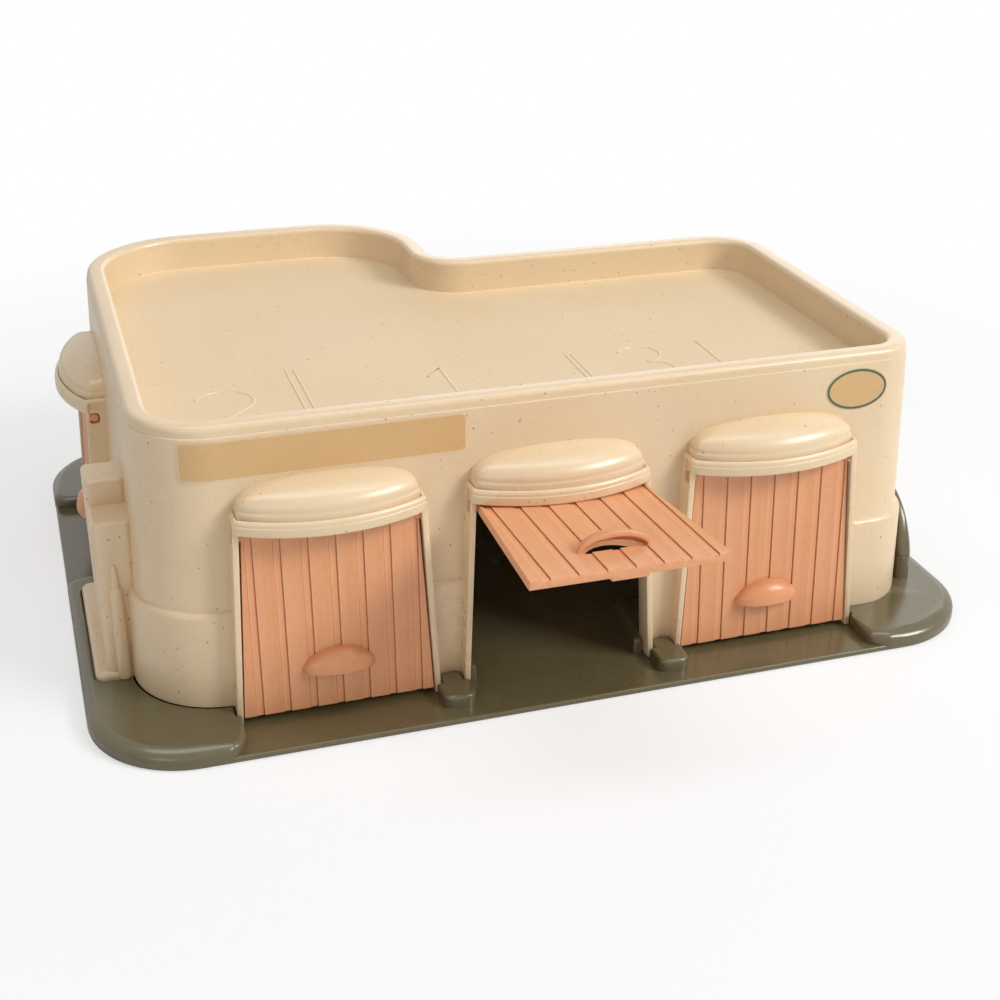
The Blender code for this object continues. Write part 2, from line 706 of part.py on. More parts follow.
def add_upright(bm):
    """A round-topped upright against the right wall."""
    front = BODY_FRONT + UPRIGHT_SETBACK
    back = front + UPRIGHT_LENGTH
    inner = BODY_RIGHT + wall_out(KERB_HEIGHT) + UPRIGHT_STANDOFF
    outer = inner + UPRIGHT_THICKNESS
    foot = KERB_HEIGHT - UPRIGHT_SINK
    rings = []
    for drawn_in, below in ((0, None), (0, 1), (0.4, 0.28), (1, 0)):
        x = inner if below is None else outer - below * UPRIGHT_EDGE
        inset = drawn_in * UPRIGHT_EDGE
        top = UPRIGHT_HEIGHT - inset
        corners = [(front + inset, foot), (back - inset, foot), (back - inset, top), (front + inset, top)]
        outline = rounded_outline(corners, [0, 0, UPRIGHT_ROUND - inset, UPRIGHT_ROUND - inset], 9)
        rings.append([(x, p.x, p.y) for p in outline])
    loft(bm, rings)


def make_plate(parts, cutters, material):
    """The ground plate: floor, raised kerbs, driveways, guides, stops and the upright."""
    bm = bmesh.new()
    loft(bm, plate_rings())
    tidy_normals(bm)
    plate = link_mesh("base_plate", bm, parts, material)

    def pocket(bm):
        prism(bm, body_outline(wall_out(BODY_FOOT) + BODY_CLEARANCE), PLATE_FLOOR, DRIVE_CUT_TOP)

    def pump_pocket(bm):
        front = PUMP_FOOT_FRONT - BODY_CLEARANCE
        back = pump_foot_back() + BODY_CLEARANCE
        left = BODY_LEFT - PUMP_PROJECTION - PUMP_FOOT_STEP - BODY_CLEARANCE
        high = (BODY_LEFT + DRIVE_INSIDE / 2, back, DRIVE_CUT_TOP)
        rounded_box(bm, (left, front, PLATE_FLOOR), high, PUMP_RADIUS + BODY_CLEARANCE)

    boolean(plate, helper("body_pocket", cutters, pocket), "DIFFERENCE")
    boolean(plate, helper("pump_pocket", cutters, pump_pocket), "DIFFERENCE")
    front_drive, side_drive = bmesh.new(), bmesh.new()
    add_driveways(front_drive, side_drive)
    for name, drive in (("front_drive", front_drive), ("side_drive", side_drive)):
        tidy_normals(drive)
        boolean(plate, link_mesh(name, drive, cutters), "DIFFERENCE")
    boolean(plate, helper("noses", cutters, add_noses), "UNION")
    boolean(plate, helper("door_stops", cutters, add_stops), "UNION")
    boolean(plate, helper("upright", cutters, add_upright), "UNION")
    return plate


def door_half_width(distance):
    """Half the door's width at a distance below its pivot."""
    return HALF_AT_PIVOT + DOOR_SIDE_TAPER * distance / DOOR_HEIGHT


def plank_section(distance):
    """Plan of the door plate at a distance below the pivot, with stepped planks on the outer face."""
    half = door_half_width(distance)
    outer = -DOOR_FACE
    points = [(-half, outer)]
    groove = -HALF_FOOT + FIRST_PLANK_WIDTH
    while groove < HALF_FOOT - 0.3 * PLANK_PITCH:
        points.append((groove - PLANK_BEVEL_WIDTH, outer))
        points.append((groove, outer + PLANK_STEP))
        points.append((groove + PLANK_RETURN, outer))
        groove += PLANK_PITCH
    points += [(half, outer), (half, DOOR_FACE), (-half, DOOR_FACE)]
    return [(x, y, -distance) for x, y in points]


def half_ellipsoid(bm, radii, centre, keep_above, keep_inside):
    """The part of an ellipsoid above one height and outside one depth."""
    sphere = bmesh.ops.create_uvsphere(bm, u_segments=20, v_segments=12, radius=1)
    bmesh.ops.scale(bm, vec=radii, verts=sphere["verts"])
    bmesh.ops.translate(bm, vec=centre, verts=sphere["verts"])
    for point, normal in (((0, 0, keep_above), (0, 0, -1)), ((0, keep_inside, 0), (0, 1, 0))):
        geometry = bm.verts[:] + bm.edges[:] + bm.faces[:]
        cut = bmesh.ops.bisect_plane(bm, geom=geometry, plane_co=point, plane_no=normal, clear_outer=True)
        edges = [item for item in cut["geom_cut"] if isinstance(item, bmesh.types.BMEdge)]
        if edges:
            bmesh.ops.edgeloop_fill(bm, edges=edges)


def door_mesh_helpers(cutters):
    """Cup, cup hollow, pins and tab, shared by the doors, in the hinge's own frame."""
    cup_z = -DOOR_HEIGHT + PULL_RISE

    def cup(bm):
        radii = (PULL_WIDTH / 2, PULL_DEPTH, PULL_HEIGHT)
        half_ellipsoid(bm, radii, (0, -DOOR_FACE, cup_z), cup_z, PULL_SINK)

    def hollow(bm):
        radii = (PULL_WIDTH / 2 - PULL_WALL, PULL_DEPTH - PULL_WALL, PULL_HEIGHT - PULL_WALL)
        half_ellipsoid(bm, radii, (0, -DOOR_FACE, cup_z), cup_z - PULL_OPEN_PAST, PULL_DEPTH)

    def pins(bm):
        root = HALF_AT_PIVOT - PIN_ROOT
        end = HALF_AT_PIVOT + DOOR_GAP + CHEEK - PIN_RECESS
        circle = [math.tau * step / 16 for step in range(16)]
        for side in (-1, 1):
            rings = []
            for x in (side * root, side * end):
                rings.append([(x, PIN_RADIUS * math.cos(a), PIN_RADIUS * math.sin(a)) for a in circle])
            loft(bm, rings)

    def tab(bm):
        foot = -DOOR_HEIGHT + TAB_RISE
        low = (-TAB_WIDTH / 2, DOOR_FACE - SINK, foot)
        high = (TAB_WIDTH / 2, DOOR_FACE + TAB_DEPTH, foot + TAB_HEIGHT)
        rounded_box(bm, low, high, SMALLEST_ROUND, steps=1)

    return [
        (helper("pull_cup", cutters, cup), "UNION"),
        (helper("pull_hollow", cutters, hollow), "DIFFERENCE"),
        (helper("hinge_pins", cutters, pins), "UNION"),
        (helper("lift_tab", cutters, tab), "UNION"),
    ]


def make_doors(parts, cutters, material):
    """Four like doors, each with its origin on its hinge axis."""
    shapes = door_mesh_helpers(cutters)
    for name, place in door_places():
        bm = bmesh.new()
        loft(bm, [plank_section(DOOR_HEIGHT), plank_section(-DOOR_TOP_ABOVE_PIVOT)])
        tidy_normals(bm)
        door = link_mesh(name, bm, parts, material)
        opened = DOOR_OPEN if name == "front_door_middle" else 0
        hinge = Matrix.Translation((0, -PIVOT_STANDOFF, PIVOT_Z))
        pose = place @ hinge @ Matrix.Rotation(-DOOR_LEAN - opened, 4, "X")
        door.matrix_world = pose
        for shape, operation in shapes:
            tool = bpy.data.objects.new(shape.name + "_" + name, shape.data)
            cutters.objects.link(tool)
            tool.hide_render = True
            tool.display_type = "WIRE"
            tool.matrix_world = pose
            boolean(door, tool, operation)
    for shape, _ in shapes:
        bpy.data.objects.remove(shape)


def wall_point(along, z, lift):
    """A point on the front wall: straight in the middle, round the corners at its ends."""
    out = wall_out(z) + lift
    radius, limit = (RIGHT_RADIUS, BODY_RIGHT - RIGHT_RADIUS)
    if along < 0:
        radius, limit = (FRONT_LEFT_RADIUS, -BODY_LEFT - FRONT_LEFT_RADIUS)
    side = -1 if along < 0 else 1
    past = abs(along) - limit
    if past <= 0:
        return (along, BODY_FRONT - out, z)
    angle = past / radius
    reach = radius + out
    return (side * (limit + reach * math.sin(angle)), BODY_FRONT + radius - reach * math.cos(angle), z)


def wall_film(name, stations, centre_z, parts, material):
    """A thin film that follows the wall, from stations of place and half height."""
    near, far = SEAT_GAP, SEAT_GAP + FILM
    rings = []
    for along, half in stations:
        ring = [(-half, near), (-half, far), (half, far), (half, near)]
        rings.append([wall_point(along, centre_z + dz, lift) for dz, lift in ring])
    bm = bmesh.new()
    loft(bm, rings)
    tidy_normals(bm)
    return link_mesh(name, bm, parts, material)


def make_films(parts, material):
    """The long strip on the left and the oval on the right of the front wall."""
    half = STRIP_HEIGHT / 2
    cut, bent = STRIP_CORNER, 0.3 * STRIP_CORNER
    stations = [(STRIP_LEFT, half - cut), (STRIP_LEFT + bent, half - bent)]
    for step in range(FILM_STATIONS + 1):
        stations.append((STRIP_LEFT + cut + (STRIP_LENGTH - 2 * cut) * step / FILM_STATIONS, half))
    stations += [(STRIP_RIGHT - bent, half - bent), (STRIP_RIGHT, half - cut)]
    wall_film("label_strip", stations, STRIP_Z, parts, material)
    stations = []
    for step in range(1, 20):
        angle = math.pi * step / 20
        stations.append((OVAL_X - OVAL_LENGTH / 2 * math.cos(angle), OVAL_HEIGHT / 2 * math.sin(angle)))
    wall_film("label_oval", stations, OVAL_Z, parts, material)


def main():
    """Build the garage."""
    clear_scene()
    parts = new_collection("toy_garage")
    cutters = new_collection("cutters")
    make_plate(parts, cutters, new_material("plate_plastic", COLOURS["plate"]))
    make_shell(parts, cutters, new_material("shell_plastic", COLOURS["shell"]))
    make_doors(parts, cutters, new_material("door_plastic", COLOURS["door"]))
    make_films(parts, new_material("label_film", COLOURS["film"], 0.35))
    bpy.context.view_layer.update()


main()
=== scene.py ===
import math

import bmesh
import bpy
from mathutils import Matrix, Vector


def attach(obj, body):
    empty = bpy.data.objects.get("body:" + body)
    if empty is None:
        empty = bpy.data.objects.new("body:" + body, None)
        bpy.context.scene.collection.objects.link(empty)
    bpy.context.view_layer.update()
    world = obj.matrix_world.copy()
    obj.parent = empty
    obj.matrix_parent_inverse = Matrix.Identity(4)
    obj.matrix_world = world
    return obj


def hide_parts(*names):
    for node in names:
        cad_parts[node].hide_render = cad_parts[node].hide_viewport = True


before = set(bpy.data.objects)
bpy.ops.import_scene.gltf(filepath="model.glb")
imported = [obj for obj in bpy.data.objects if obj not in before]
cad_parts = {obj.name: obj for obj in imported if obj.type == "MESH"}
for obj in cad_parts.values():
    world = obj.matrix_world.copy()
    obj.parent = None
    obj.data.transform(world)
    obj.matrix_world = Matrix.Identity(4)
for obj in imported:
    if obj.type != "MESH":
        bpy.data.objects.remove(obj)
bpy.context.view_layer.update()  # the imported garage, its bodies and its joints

# Toy garage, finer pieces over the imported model. Meshes are drawn in millimetres, and toPiece makes them metres.
toMetres = 0.001
leastRound = 0.25
partsCollection = bpy.data.collections.new("toyGarage")
bpy.context.scene.collection.children.link(partsCollection)


def toObject(name, bm, collection=partsCollection):
    mesh = bpy.data.meshes.new(name)
    bm.to_mesh(mesh)
    bm.free()
    obj = bpy.data.objects.new(name, mesh)
    collection.objects.link(obj)
    return obj


def toPiece(name, bm, finish, slotName, bodyName, nodes, smoothAngle=40, pose=Matrix.Identity(4)):
    bmesh.ops.remove_doubles(bm, verts=bm.verts, dist=0.0005)
    bmesh.ops.recalc_face_normals(bm, faces=bm.faces)
    bm.transform(Matrix.Scale(toMetres, 4))
    piece = toObject(name, bm)
    piece.data.materials.append(finish)
    piece.data.shade_smooth()
    piece.data.set_sharp_from_angle(angle=math.radians(smoothAngle))
    place = pose.copy()
    place.translation = pose.translation * toMetres
    piece.matrix_world = place
    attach(piece, bodyName)
    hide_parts(*nodes)


def applied(obj):
    # the object's shape after its modifiers
    done = bmesh.new()
    done.from_mesh(obj.evaluated_get(bpy.context.evaluated_depsgraph_get()).to_mesh())
    return done


def discard(obj):
    mesh = obj.data
    bpy.data.objects.remove(obj)
    bpy.data.meshes.remove(mesh)


def cutAway(target, cutter):
    for bm in (target, cutter):
        bmesh.ops.recalc_face_normals(bm, faces=bm.faces)
    body, tool = toObject("cutTarget", target), toObject("cutTool", cutter)
    cut = body.modifiers.new("cut", "BOOLEAN")
    cut.operation = "DIFFERENCE"
    cut.solver = "EXACT"
    cut.object = tool
    done = applied(body)
    discard(body)
    discard(tool)
    return done


def roundCorners(corners, radii, steps):
    points = []
    for index, spot in enumerate(corners):
        corner = Vector(spot)
        before = (Vector(corners[index - 1]) - corner).normalized()
        after = (Vector(corners[(index + 1) % len(corners)]) - corner).normalized()
        half = before.angle(after) / 2
        radius = radii[index]
        if radius <= 0:
            points.append(corner)
            continue
        centre = corner + (before + after).normalized() * (radius / math.sin(half))
        start = corner + before * (radius / math.tan(half)) - centre
        end = corner + after * (radius / math.tan(half)) - centre
        sweep = start.angle_signed(end)
        count = max(2, round(steps * abs(sweep) / (math.pi / 2)))
        for step in range(count + 1):
            points.append(centre + Matrix.Rotation(-sweep * step / count, 2) @ start)
    return points


def loft(bm, rings, place=Matrix.Identity(4), closeStart=True, closeEnd=True):
    verts = [[bm.verts.new(place @ Vector(point)) for point in ring] for ring in rings]
    count = len(rings[0])
    for lower, upper in zip(verts, verts[1:]):
        for index in range(count):
            after = (index + 1) % count
            bm.faces.new((lower[index], lower[after], upper[after], upper[index]))
    if closeStart:
        bm.faces.new(verts[0][::-1])
    if closeEnd:
        bm.faces.new(verts[-1])
    return verts


def lofted(rings, place=Matrix.Identity(4)):
    bm = bmesh.new()
    loft(bm, rings, place)
    return bm


def rectangle(x0, y0, x1, y1):
    return [(x0, y0), (x1, y0), (x1, y1), (x0, y1)]


def quarterTurns(steps):
    return [math.pi / 2 * step / steps for step in range(steps + 1)]


def softTop(foot, top, soft, steps):
    # inset and height of the levels of a block with a rounded top edge
    turns = quarterTurns(steps)
    return [(0, foot)] + [(soft * (1 - math.cos(turn)), top - soft * (1 - math.sin(turn))) for turn in turns]


def softBlock(bm, low, high, radius, topRound, place=Matrix.Identity(4), steps=6, flatSide=False):
    rings = []
    for inset, z in softTop(low[2], high[2], topRound, steps):
        right = high[0] if flatSide else high[0] - inset
        corners = rectangle(low[0] + inset, low[1] + inset, right, high[1] - inset)
        outline = roundCorners(corners, [max(radius - inset, leastRound)] * 4, steps)
        rings.append([(p.x, p.y, z) for p in outline])
    loft(bm, rings, place)


# Finishes: moulded plastic with flecks, fibres, a cloudy tone and a fine skin.

def addNode(tree, kind, **values):
    node = tree.nodes.new(kind)
    for key, value in values.items():
        if hasattr(node, key):
            setattr(node, key, value)
        else:
            node.inputs[key].default_value = value
    return node


def blendColour(tree, share, under, over):
    mix = addNode(tree, "ShaderNodeMix", data_type="RGBA")
    colourInputs = [socket for socket in mix.inputs if socket.type == "RGBA"]
    colourInputs[1].default_value = (*over, 1)
    tree.links.new(share, mix.inputs["Factor"])
    tree.links.new(under, colourInputs[0])
    return [socket for socket in mix.outputs if socket.type == "RGBA"][0]


def mathStep(tree, operation, first, second, third=None, kind="ShaderNodeMath"):
    # one step of arithmetic on sockets, numbers or vectors
    node = addNode(tree, kind, operation=operation)
    for index, value in enumerate((first, second, third)):
        if hasattr(value, "node"):
            tree.links.new(value, node.inputs[index])
        elif value is not None:
            node.inputs[index].default_value = value
    return node.outputs[0]


def spread(tree, value, fromLow, fromHigh, toLow, toHigh, smooth=False):
    node = addNode(tree, "ShaderNodeMapRange", interpolation_type="SMOOTHSTEP" if smooth else "LINEAR")
    for socket, limit in (("From Min", fromLow), ("From Max", fromHigh), ("To Min", toLow), ("To Max", toHigh)):
        if hasattr(limit, "node"):
            tree.links.new(limit, node.inputs[socket])
        else:
            node.inputs[socket].default_value = limit
    tree.links.new(value, node.inputs["Value"])
    return node.outputs["Result"]


def noiseOf(tree, place, scale, detail=1.0, roughness=0.5):
    noise = addNode(tree, "ShaderNodeTexNoise", Scale=scale, Detail=detail, Roughness=roughness)
    tree.links.new(place, noise.inputs["Vector"])
    return noise


def moved(tree, place, location=(0, 0, 0), turn=(0, 0, 0), stretch=(1, 1, 1)):
    move = addNode(tree, "ShaderNodeMapping", Location=location, Scale=stretch)
    move.inputs["Rotation"].default_value = [math.radians(a) for a in turn]
    tree.links.new(place, move.inputs["Vector"])
    return move.outputs["Vector"]


def fleckLayer(tree, coords, layer):
    seed, size = layer["seed"], layer["size"]
    cells = addNode(tree, "ShaderNodeTexVoronoi", Scale=layer["scale"])
    place = moved(tree, coords, (seed, seed * 0.7, seed * 1.3), layer["turn"], layer["stretch"])
    tree.links.new(place, cells.inputs["Vector"])
    random = addNode(tree, "ShaderNodeSeparateColor")
    tree.links.new(cells.outputs["Color"], random.inputs["Color"])
    reach = spread(tree, random.outputs["Green"], 0, 1, size * 0.35, size * 1.5)  # each fleck has its own size
    ratio = mathStep(tree, "DIVIDE", cells.outputs["Distance"], reach)
    spot = spread(tree, ratio, 1.0, 0.5, 0, 1, smooth=True)
    rare = mathStep(tree, "LESS_THAN", random.outputs["Red"], layer["share"])
    return mathStep(tree, "MULTIPLY", mathStep(tree, "MULTIPLY", spot, rare), layer["strength"])


def deckMask(tree, coords, facing, look):
    # 1 on the flat parking deck, 0 elsewhere
    heights = addNode(tree, "ShaderNodeSeparateXYZ")
    tree.links.new(coords, heights.inputs["Vector"])
    tilts = addNode(tree, "ShaderNodeSeparateXYZ")
    tree.links.new(facing, tilts.inputs["Vector"])
    onDeck = mathStep(tree, "COMPARE", heights.outputs["Z"], look["deckHeight"], look["deckReach"])
    return mathStep(tree, "MULTIPLY", onDeck, mathStep(tree, "GREATER_THAN", tilts.outputs["Z"], 0.9))


def mouldedPlastic(name, look):
    material = bpy.data.materials.new(name)
    material.use_nodes = True
    tree = material.node_tree
    link = tree.links.new
    shader = tree.nodes["Principled BSDF"]
    shader.inputs["Specular IOR Level"].default_value = look["shine"]

    # every piece has its own stretch of the pattern
    coords = addNode(tree, "ShaderNodeTexCoord").outputs["Object"]
    own = addNode(tree, "ShaderNodeObjectInfo")
    shifted = mathStep(tree, "ADD", coords, own.outputs["Random"], kind="ShaderNodeVectorMath")
    ripple = noiseOf(tree, shifted, look["rippleScale"]).outputs["Color"]
    shift = addNode(tree, "ShaderNodeVectorMath", operation="SCALE")
    shift.inputs["Scale"].default_value = look["ripple"]
    link(ripple, shift.inputs[0])
    bent = mathStep(tree, "ADD", shifted, shift.outputs["Vector"], kind="ShaderNodeVectorMath")

    # cloudy tone, as the pellets flowed in the mould
    cloudTone = addNode(tree, "ShaderNodeValToRGB")
    for element, position, tone in zip(cloudTone.color_ramp.elements, (0.3, 0.7), (look["deep"], look["pale"])):
        element.position = position
        element.color = (*tone, 1)
    link(noiseOf(tree, coords, look["cloudScale"], 4.0, 0.6).outputs["Fac"], cloudTone.inputs["Fac"])
    colour = cloudTone.outputs["Color"]

    # drawn streaks along the plank or wall, and a fine mottle
    streak = noiseOf(tree, moved(tree, shifted, stretch=(1, 1, look["drawn"])), look["streakScale"]).outputs["Fac"]
    colour = blendColour(tree, spread(tree, streak, 0.45, 0.75, 0, look["streak"]), colour, look["streakColour"])
    mottle = noiseOf(tree, shifted, look["mottleScale"]).outputs["Fac"]
    colour = blendColour(tree, spread(tree, mottle, 0.5, 0.8, 0, look["mottle"]), colour, look["deepest"])
    for layer in look["flecks"]:
        colour = blendColour(tree, fleckLayer(tree, bent, layer), colour, layer["colour"])

    # rubbed edges a little paler
    surface = addNode(tree, "ShaderNodeNewGeometry")
    rub = spread(tree, surface.outputs["Pointiness"], 0.54, 0.66, 0, look["rub"])
    link(blendColour(tree, rub, colour, look["rubColour"]), shader.inputs["Base Color"])

    # uneven satin and a fine moulded skin
    patch = noiseOf(tree, coords, look["patchScale"], 3.0).outputs["Fac"]
    satin = spread(tree, patch, 0.3, 0.7, look["smooth"], look["rough"])
    if "deckHeight" in look:  # the parking deck is duller than the polished sides
        dull = deckMask(tree, coords, surface.outputs["True Normal"], look)
        satin = mathStep(tree, "MULTIPLY_ADD", dull, look["deckRough"], satin)
        link(spread(tree, dull, 0, 1, look["shine"], look["deckShine"]), shader.inputs["Specular IOR Level"])
    link(satin, shader.inputs["Roughness"])
    skin = noiseOf(tree, coords, look["skinScale"]).outputs["Fac"]
    bump = addNode(tree, "ShaderNodeBump", Strength=look["skin"], Distance=0.0001)
    link(mathStep(tree, "MULTIPLY_ADD", streak, look["streak"] * 2, skin), bump.inputs["Height"])
    link(bump.outputs["Normal"], shader.inputs["Normal"])
    return material


speck = {"stretch": (1, 1, 1), "turn": (0, 0, 0), "scale": 205.0, "size": 0.085, "share": 0.95, "seed": 3.1,
         "strength": 0.68, "colour": (0.22, 0.115, 0.02)}
darkSpeck = {"stretch": (1, 0.6, 1), "turn": (25, 10, 65), "scale": 120.0, "size": 0.05, "share": 0.65, "seed": 5.9,
             "strength": 0.72, "colour": (0.16, 0.08, 0.015)}
fineSpeck = {"stretch": (1, 1, 1), "turn": (20, 40, 10), "scale": 420.0, "size": 0.085, "share": 0.5, "seed": 7.7,
             "strength": 0.50, "colour": (0.34, 0.21, 0.07)}
fibre = {"stretch": (0.35, 1, 1), "turn": (15, 35, 50), "scale": 270.0, "size": 0.055, "share": 0.25, "seed": 11.3,
         "strength": 0.42, "colour": (0.28, 0.17, 0.05)}

plasticLook = {"ripple": 0.0005, "rippleScale": 600.0, "mottleScale": 420.0, "skinScale": 420.0}
sandLook = {
    **plasticLook,
    "pale": (0.795, 0.618, 0.402), "deep": (0.755, 0.572, 0.358), "deepest": (0.62, 0.44, 0.24), "cloudScale": 14.0,
    "shine": 0.68, "smooth": 0.26, "rough": 0.35, "patchScale": 30.0, "skin": 0.08,
    "drawn": 0.10, "streakScale": 160.0, "streak": 0.04, "streakColour": (0.69, 0.50, 0.29), "mottle": 0.14,
    "rub": 0.22, "rubColour": (0.86, 0.71, 0.51), "flecks": [speck, darkSpeck, fineSpeck, fibre],
    "deckHeight": 0.1088, "deckReach": 0.0007, "deckRough": 0.24, "deckShine": 0.42,
}
oliveLook = {
    **plasticLook,
    "pale": (0.140, 0.116, 0.056), "deep": (0.115, 0.094, 0.044), "deepest": (0.08, 0.063, 0.032), "cloudScale": 22.0,
    "shine": 0.62, "smooth": 0.18, "rough": 0.30, "patchScale": 30.0, "skin": 0.10, "skinScale": 400.0,
    "drawn": 0.4, "streakScale": 120.0, "streak": 0.08, "streakColour": (0.18, 0.155, 0.085), "mottle": 0.20,
    "rub": 0.40, "rubColour": (0.26, 0.23, 0.13),
    "flecks": [dict(speck, colour=(0.05, 0.04, 0.025), strength=0.4),
               dict(fibre, colour=(0.22, 0.19, 0.12), strength=0.3)],
}
terracottaLook = {
    **plasticLook,
    "pale": (0.800, 0.366, 0.172), "deep": (0.750, 0.324, 0.146), "deepest": (0.56, 0.20, 0.085), "cloudScale": 20.0,
    "shine": 0.50, "smooth": 0.27, "rough": 0.40, "patchScale": 40.0, "skin": 0.12,
    "drawn": 0.02, "streakScale": 520.0, "streak": 0.20, "streakColour": (0.63, 0.25, 0.11), "mottle": 0.18,
    "rub": 0.40, "rubColour": (0.86, 0.49, 0.29),
    "flecks": [dict(speck, share=0.4, strength=0.32), dict(fineSpeck, strength=0.24),
               dict(fibre, share=0.15, strength=0.25)],
}
peachLook = {
    **plasticLook,
    "pale": (0.680, 0.425, 0.182), "deep": (0.655, 0.402, 0.168), "deepest": (0.62, 0.39, 0.18), "cloudScale": 30.0,
    "shine": 0.5, "smooth": 0.24, "rough": 0.32, "patchScale": 40.0, "skin": 0.05,
    "drawn": 0.5, "streakScale": 200.0, "streak": 0.04, "streakColour": (0.79, 0.56, 0.32), "mottle": 0.12,
    "rub": 0.10, "rubColour": (0.80, 0.60, 0.40), "flecks": [dict(fineSpeck, share=0.15, strength=0.15)],
}
edgeLook = dict(peachLook, pale=(0.80, 0.63, 0.42), deep=(0.78, 0.60, 0.39), deepest=(0.68, 0.50, 0.31),
                streakColour=(0.82, 0.66, 0.47), rubColour=(0.84, 0.68, 0.50))
greenLook = dict(peachLook, pale=(0.050, 0.135, 0.098), deep=(0.040, 0.112, 0.082), deepest=(0.02, 0.07, 0.05),
                 streakColour=(0.07, 0.17, 0.13), rubColour=(0.10, 0.20, 0.16), flecks=[])

sandPlastic = mouldedPlastic("sandPlastic", sandLook)
olivePlastic = mouldedPlastic("olivePlastic", oliveLook)
terracottaPlastic = mouldedPlastic("terracottaPlastic", terracottaLook)
peachFilm = mouldedPlastic("peachFilm", peachLook)
filmEdge = mouldedPlastic("filmEdge", edgeLook)
greenInk = mouldedPlastic("greenInk", greenLook)
print("finishes ready")


# The body: skirt, drafted wall, round rim and roof deck in one skin.

garageBody = {
    "left": -163.3, "right": 163.3, "front": -116.55, "rightBack": 59.25, "leftBack": 135.85, "wing": 0.0,
    "frontLeft": 30, "frontRight": 20, "rightRound": 27, "inner": 14, "backRound": 50, "cornerSteps": 18,
    "foot": 2.8, "skirt": 48.6, "skirtStep": 2.4, "skirtFlare": 1.2, "flare": 2.2,
    "lip": 119.6, "lipIn": 0.55, "ledge": 0.5, "top": 124.2, "outerRound": 2.5, "innerRound": 2.3, "rimInner": 9.5,
    "deck": 108.8, "deckIn": 0.6, "deckRound": 0.4, "wall": 2.2, "footSoft": 0.5, "crown": 0.12,
    "skirtTop": ((0.15, 0.05), (0, 0.35)), "wallTop": 1.5,  # outward, up
    "neck": ((0.01, -0.35), (0.04, -0.1), (0.15, 0.12), (0.33, 0.22)),  # inward, up
    "rimFoot": ((0.02, 0.26), (0.06, 0.5)), "rimIn": 0.1,
}
shellFit = (sandPlastic, "shell_plastic", "garage", ["garage_shell"])


def wallOut(z):
    b = garageBody
    if z >= b["skirt"]:
        return -b["lipIn"] + (b["flare"] + b["lipIn"]) * (b["lip"] - z) / (b["lip"] - b["skirt"])
    return b["flare"] + b["skirtStep"] + b["skirtFlare"] * (b["skirt"] - z) / (b["skirt"] - b["foot"])


def bodyOutline(out):
    b = garageBody
    left, right, front = b["left"] - out, b["right"] + out, b["front"] - out
    wing, rightBack, leftBack = b["wing"] + out, b["rightBack"] + out, b["leftBack"] + out
    corners = [(left, front), (right, front), (right, rightBack), (wing, rightBack), (wing, leftBack),
               (left, leftBack)]
    radii = [b["frontLeft"] + out, b["frontRight"] + out, b["rightRound"] + out, b["inner"] - out,
             b["backRound"] + out, b["backRound"] + out]
    return roundCorners(corners, radii, b["cornerSteps"])


def bodyProfile():
    b = garageBody
    foot, skirt, lip, top, soft = b["foot"], b["skirt"], b["lip"], b["top"], b["footSoft"]
    edge = skirt - b["skirtStep"]
    profile = [(wallOut(foot) - soft, foot), (wallOut(foot), foot + soft), (wallOut(edge), edge)]
    for angle in range(12, 90, 13):
        turn = math.radians(angle)
        profile.append((b["flare"] + b["skirtStep"] * math.cos(turn), edge + b["skirtStep"] * math.sin(turn)))
    profile += [(b["flare"] + out, skirt + rise) for out, rise in b["skirtTop"]]
    rimOut = -b["lipIn"] - b["ledge"]
    profile.append((wallOut(lip - b["wallTop"]), lip - b["wallTop"]))
    profile += [(-b["lipIn"] - inward, lip + rise) for inward, rise in b["neck"]]
    profile += [(rimOut - inward, lip + rise) for inward, rise in b["rimFoot"]]
    outer, inner = b["outerRound"], b["innerRound"]
    for turn in quarterTurns(8):
        profile.append((rimOut - b["rimIn"] - outer * (1 - math.cos(turn)), top - outer * (1 - math.sin(turn))))
    profile.append((-(b["rimInner"] + outer) / 2, top + b["crown"]))
    for turn in quarterTurns(8):
        profile.append((-b["rimInner"] + inner * (1 - math.sin(turn)), top - inner * (1 - math.cos(turn))))
    for turn in quarterTurns(6):
        drawnIn = b["deckIn"] + b["deckRound"] * (1 - math.cos(turn))
        profile.append((-b["rimInner"] - drawnIn, b["deck"] + b["deckRound"] * (1 - math.sin(turn))))
    return profile


# Where the four door surrounds stand. Local -Y points out of the wall.

doorPlan = {
    "spacing": 92.4, "footHalf": 38.25, "topHalf": 34.25, "openingHalf": 35.28, "height": 76.7, "taper": 3.57,
    "pivotZ": 81.48, "standOff": 5.95, "lean": 3.2, "open": 91.0, "face": 1.5, "inside": 2.3, "cheek": 2.4,
    "sideY": 46.0, "topAbove": 2.5, "cutFront": -8.0, "cutBack": 9.0, "cutFoot": 3.0, "cutDrop": 0.4,
}
moduleNames = ["Left", "Middle", "Right", "Side"]
moduleNodes = ["front_door_left", "front_door_middle", "front_door_right", "side_door"]
moduleBodies = ["left_door", "middle_door", "right_door", "side_door"]
modulePlaces = [Matrix.Translation((x * doorPlan["spacing"], garageBody["front"], 0)) for x in (-1, 0, 1)]
sidePlace = Matrix.Translation((garageBody["left"], doorPlan["sideY"], 0))
modulePlaces.append(sidePlace @ Matrix.Rotation(-math.pi / 2, 4, "Z"))


def halfOpening(z):
    d = doorPlan
    return d["openingHalf"] + d["taper"] * (d["pivotZ"] - z) / d["height"]


def doorLine(z):
    return -doorPlan["standOff"] - (doorPlan["pivotZ"] - z) * math.tan(math.radians(doorPlan["lean"]))


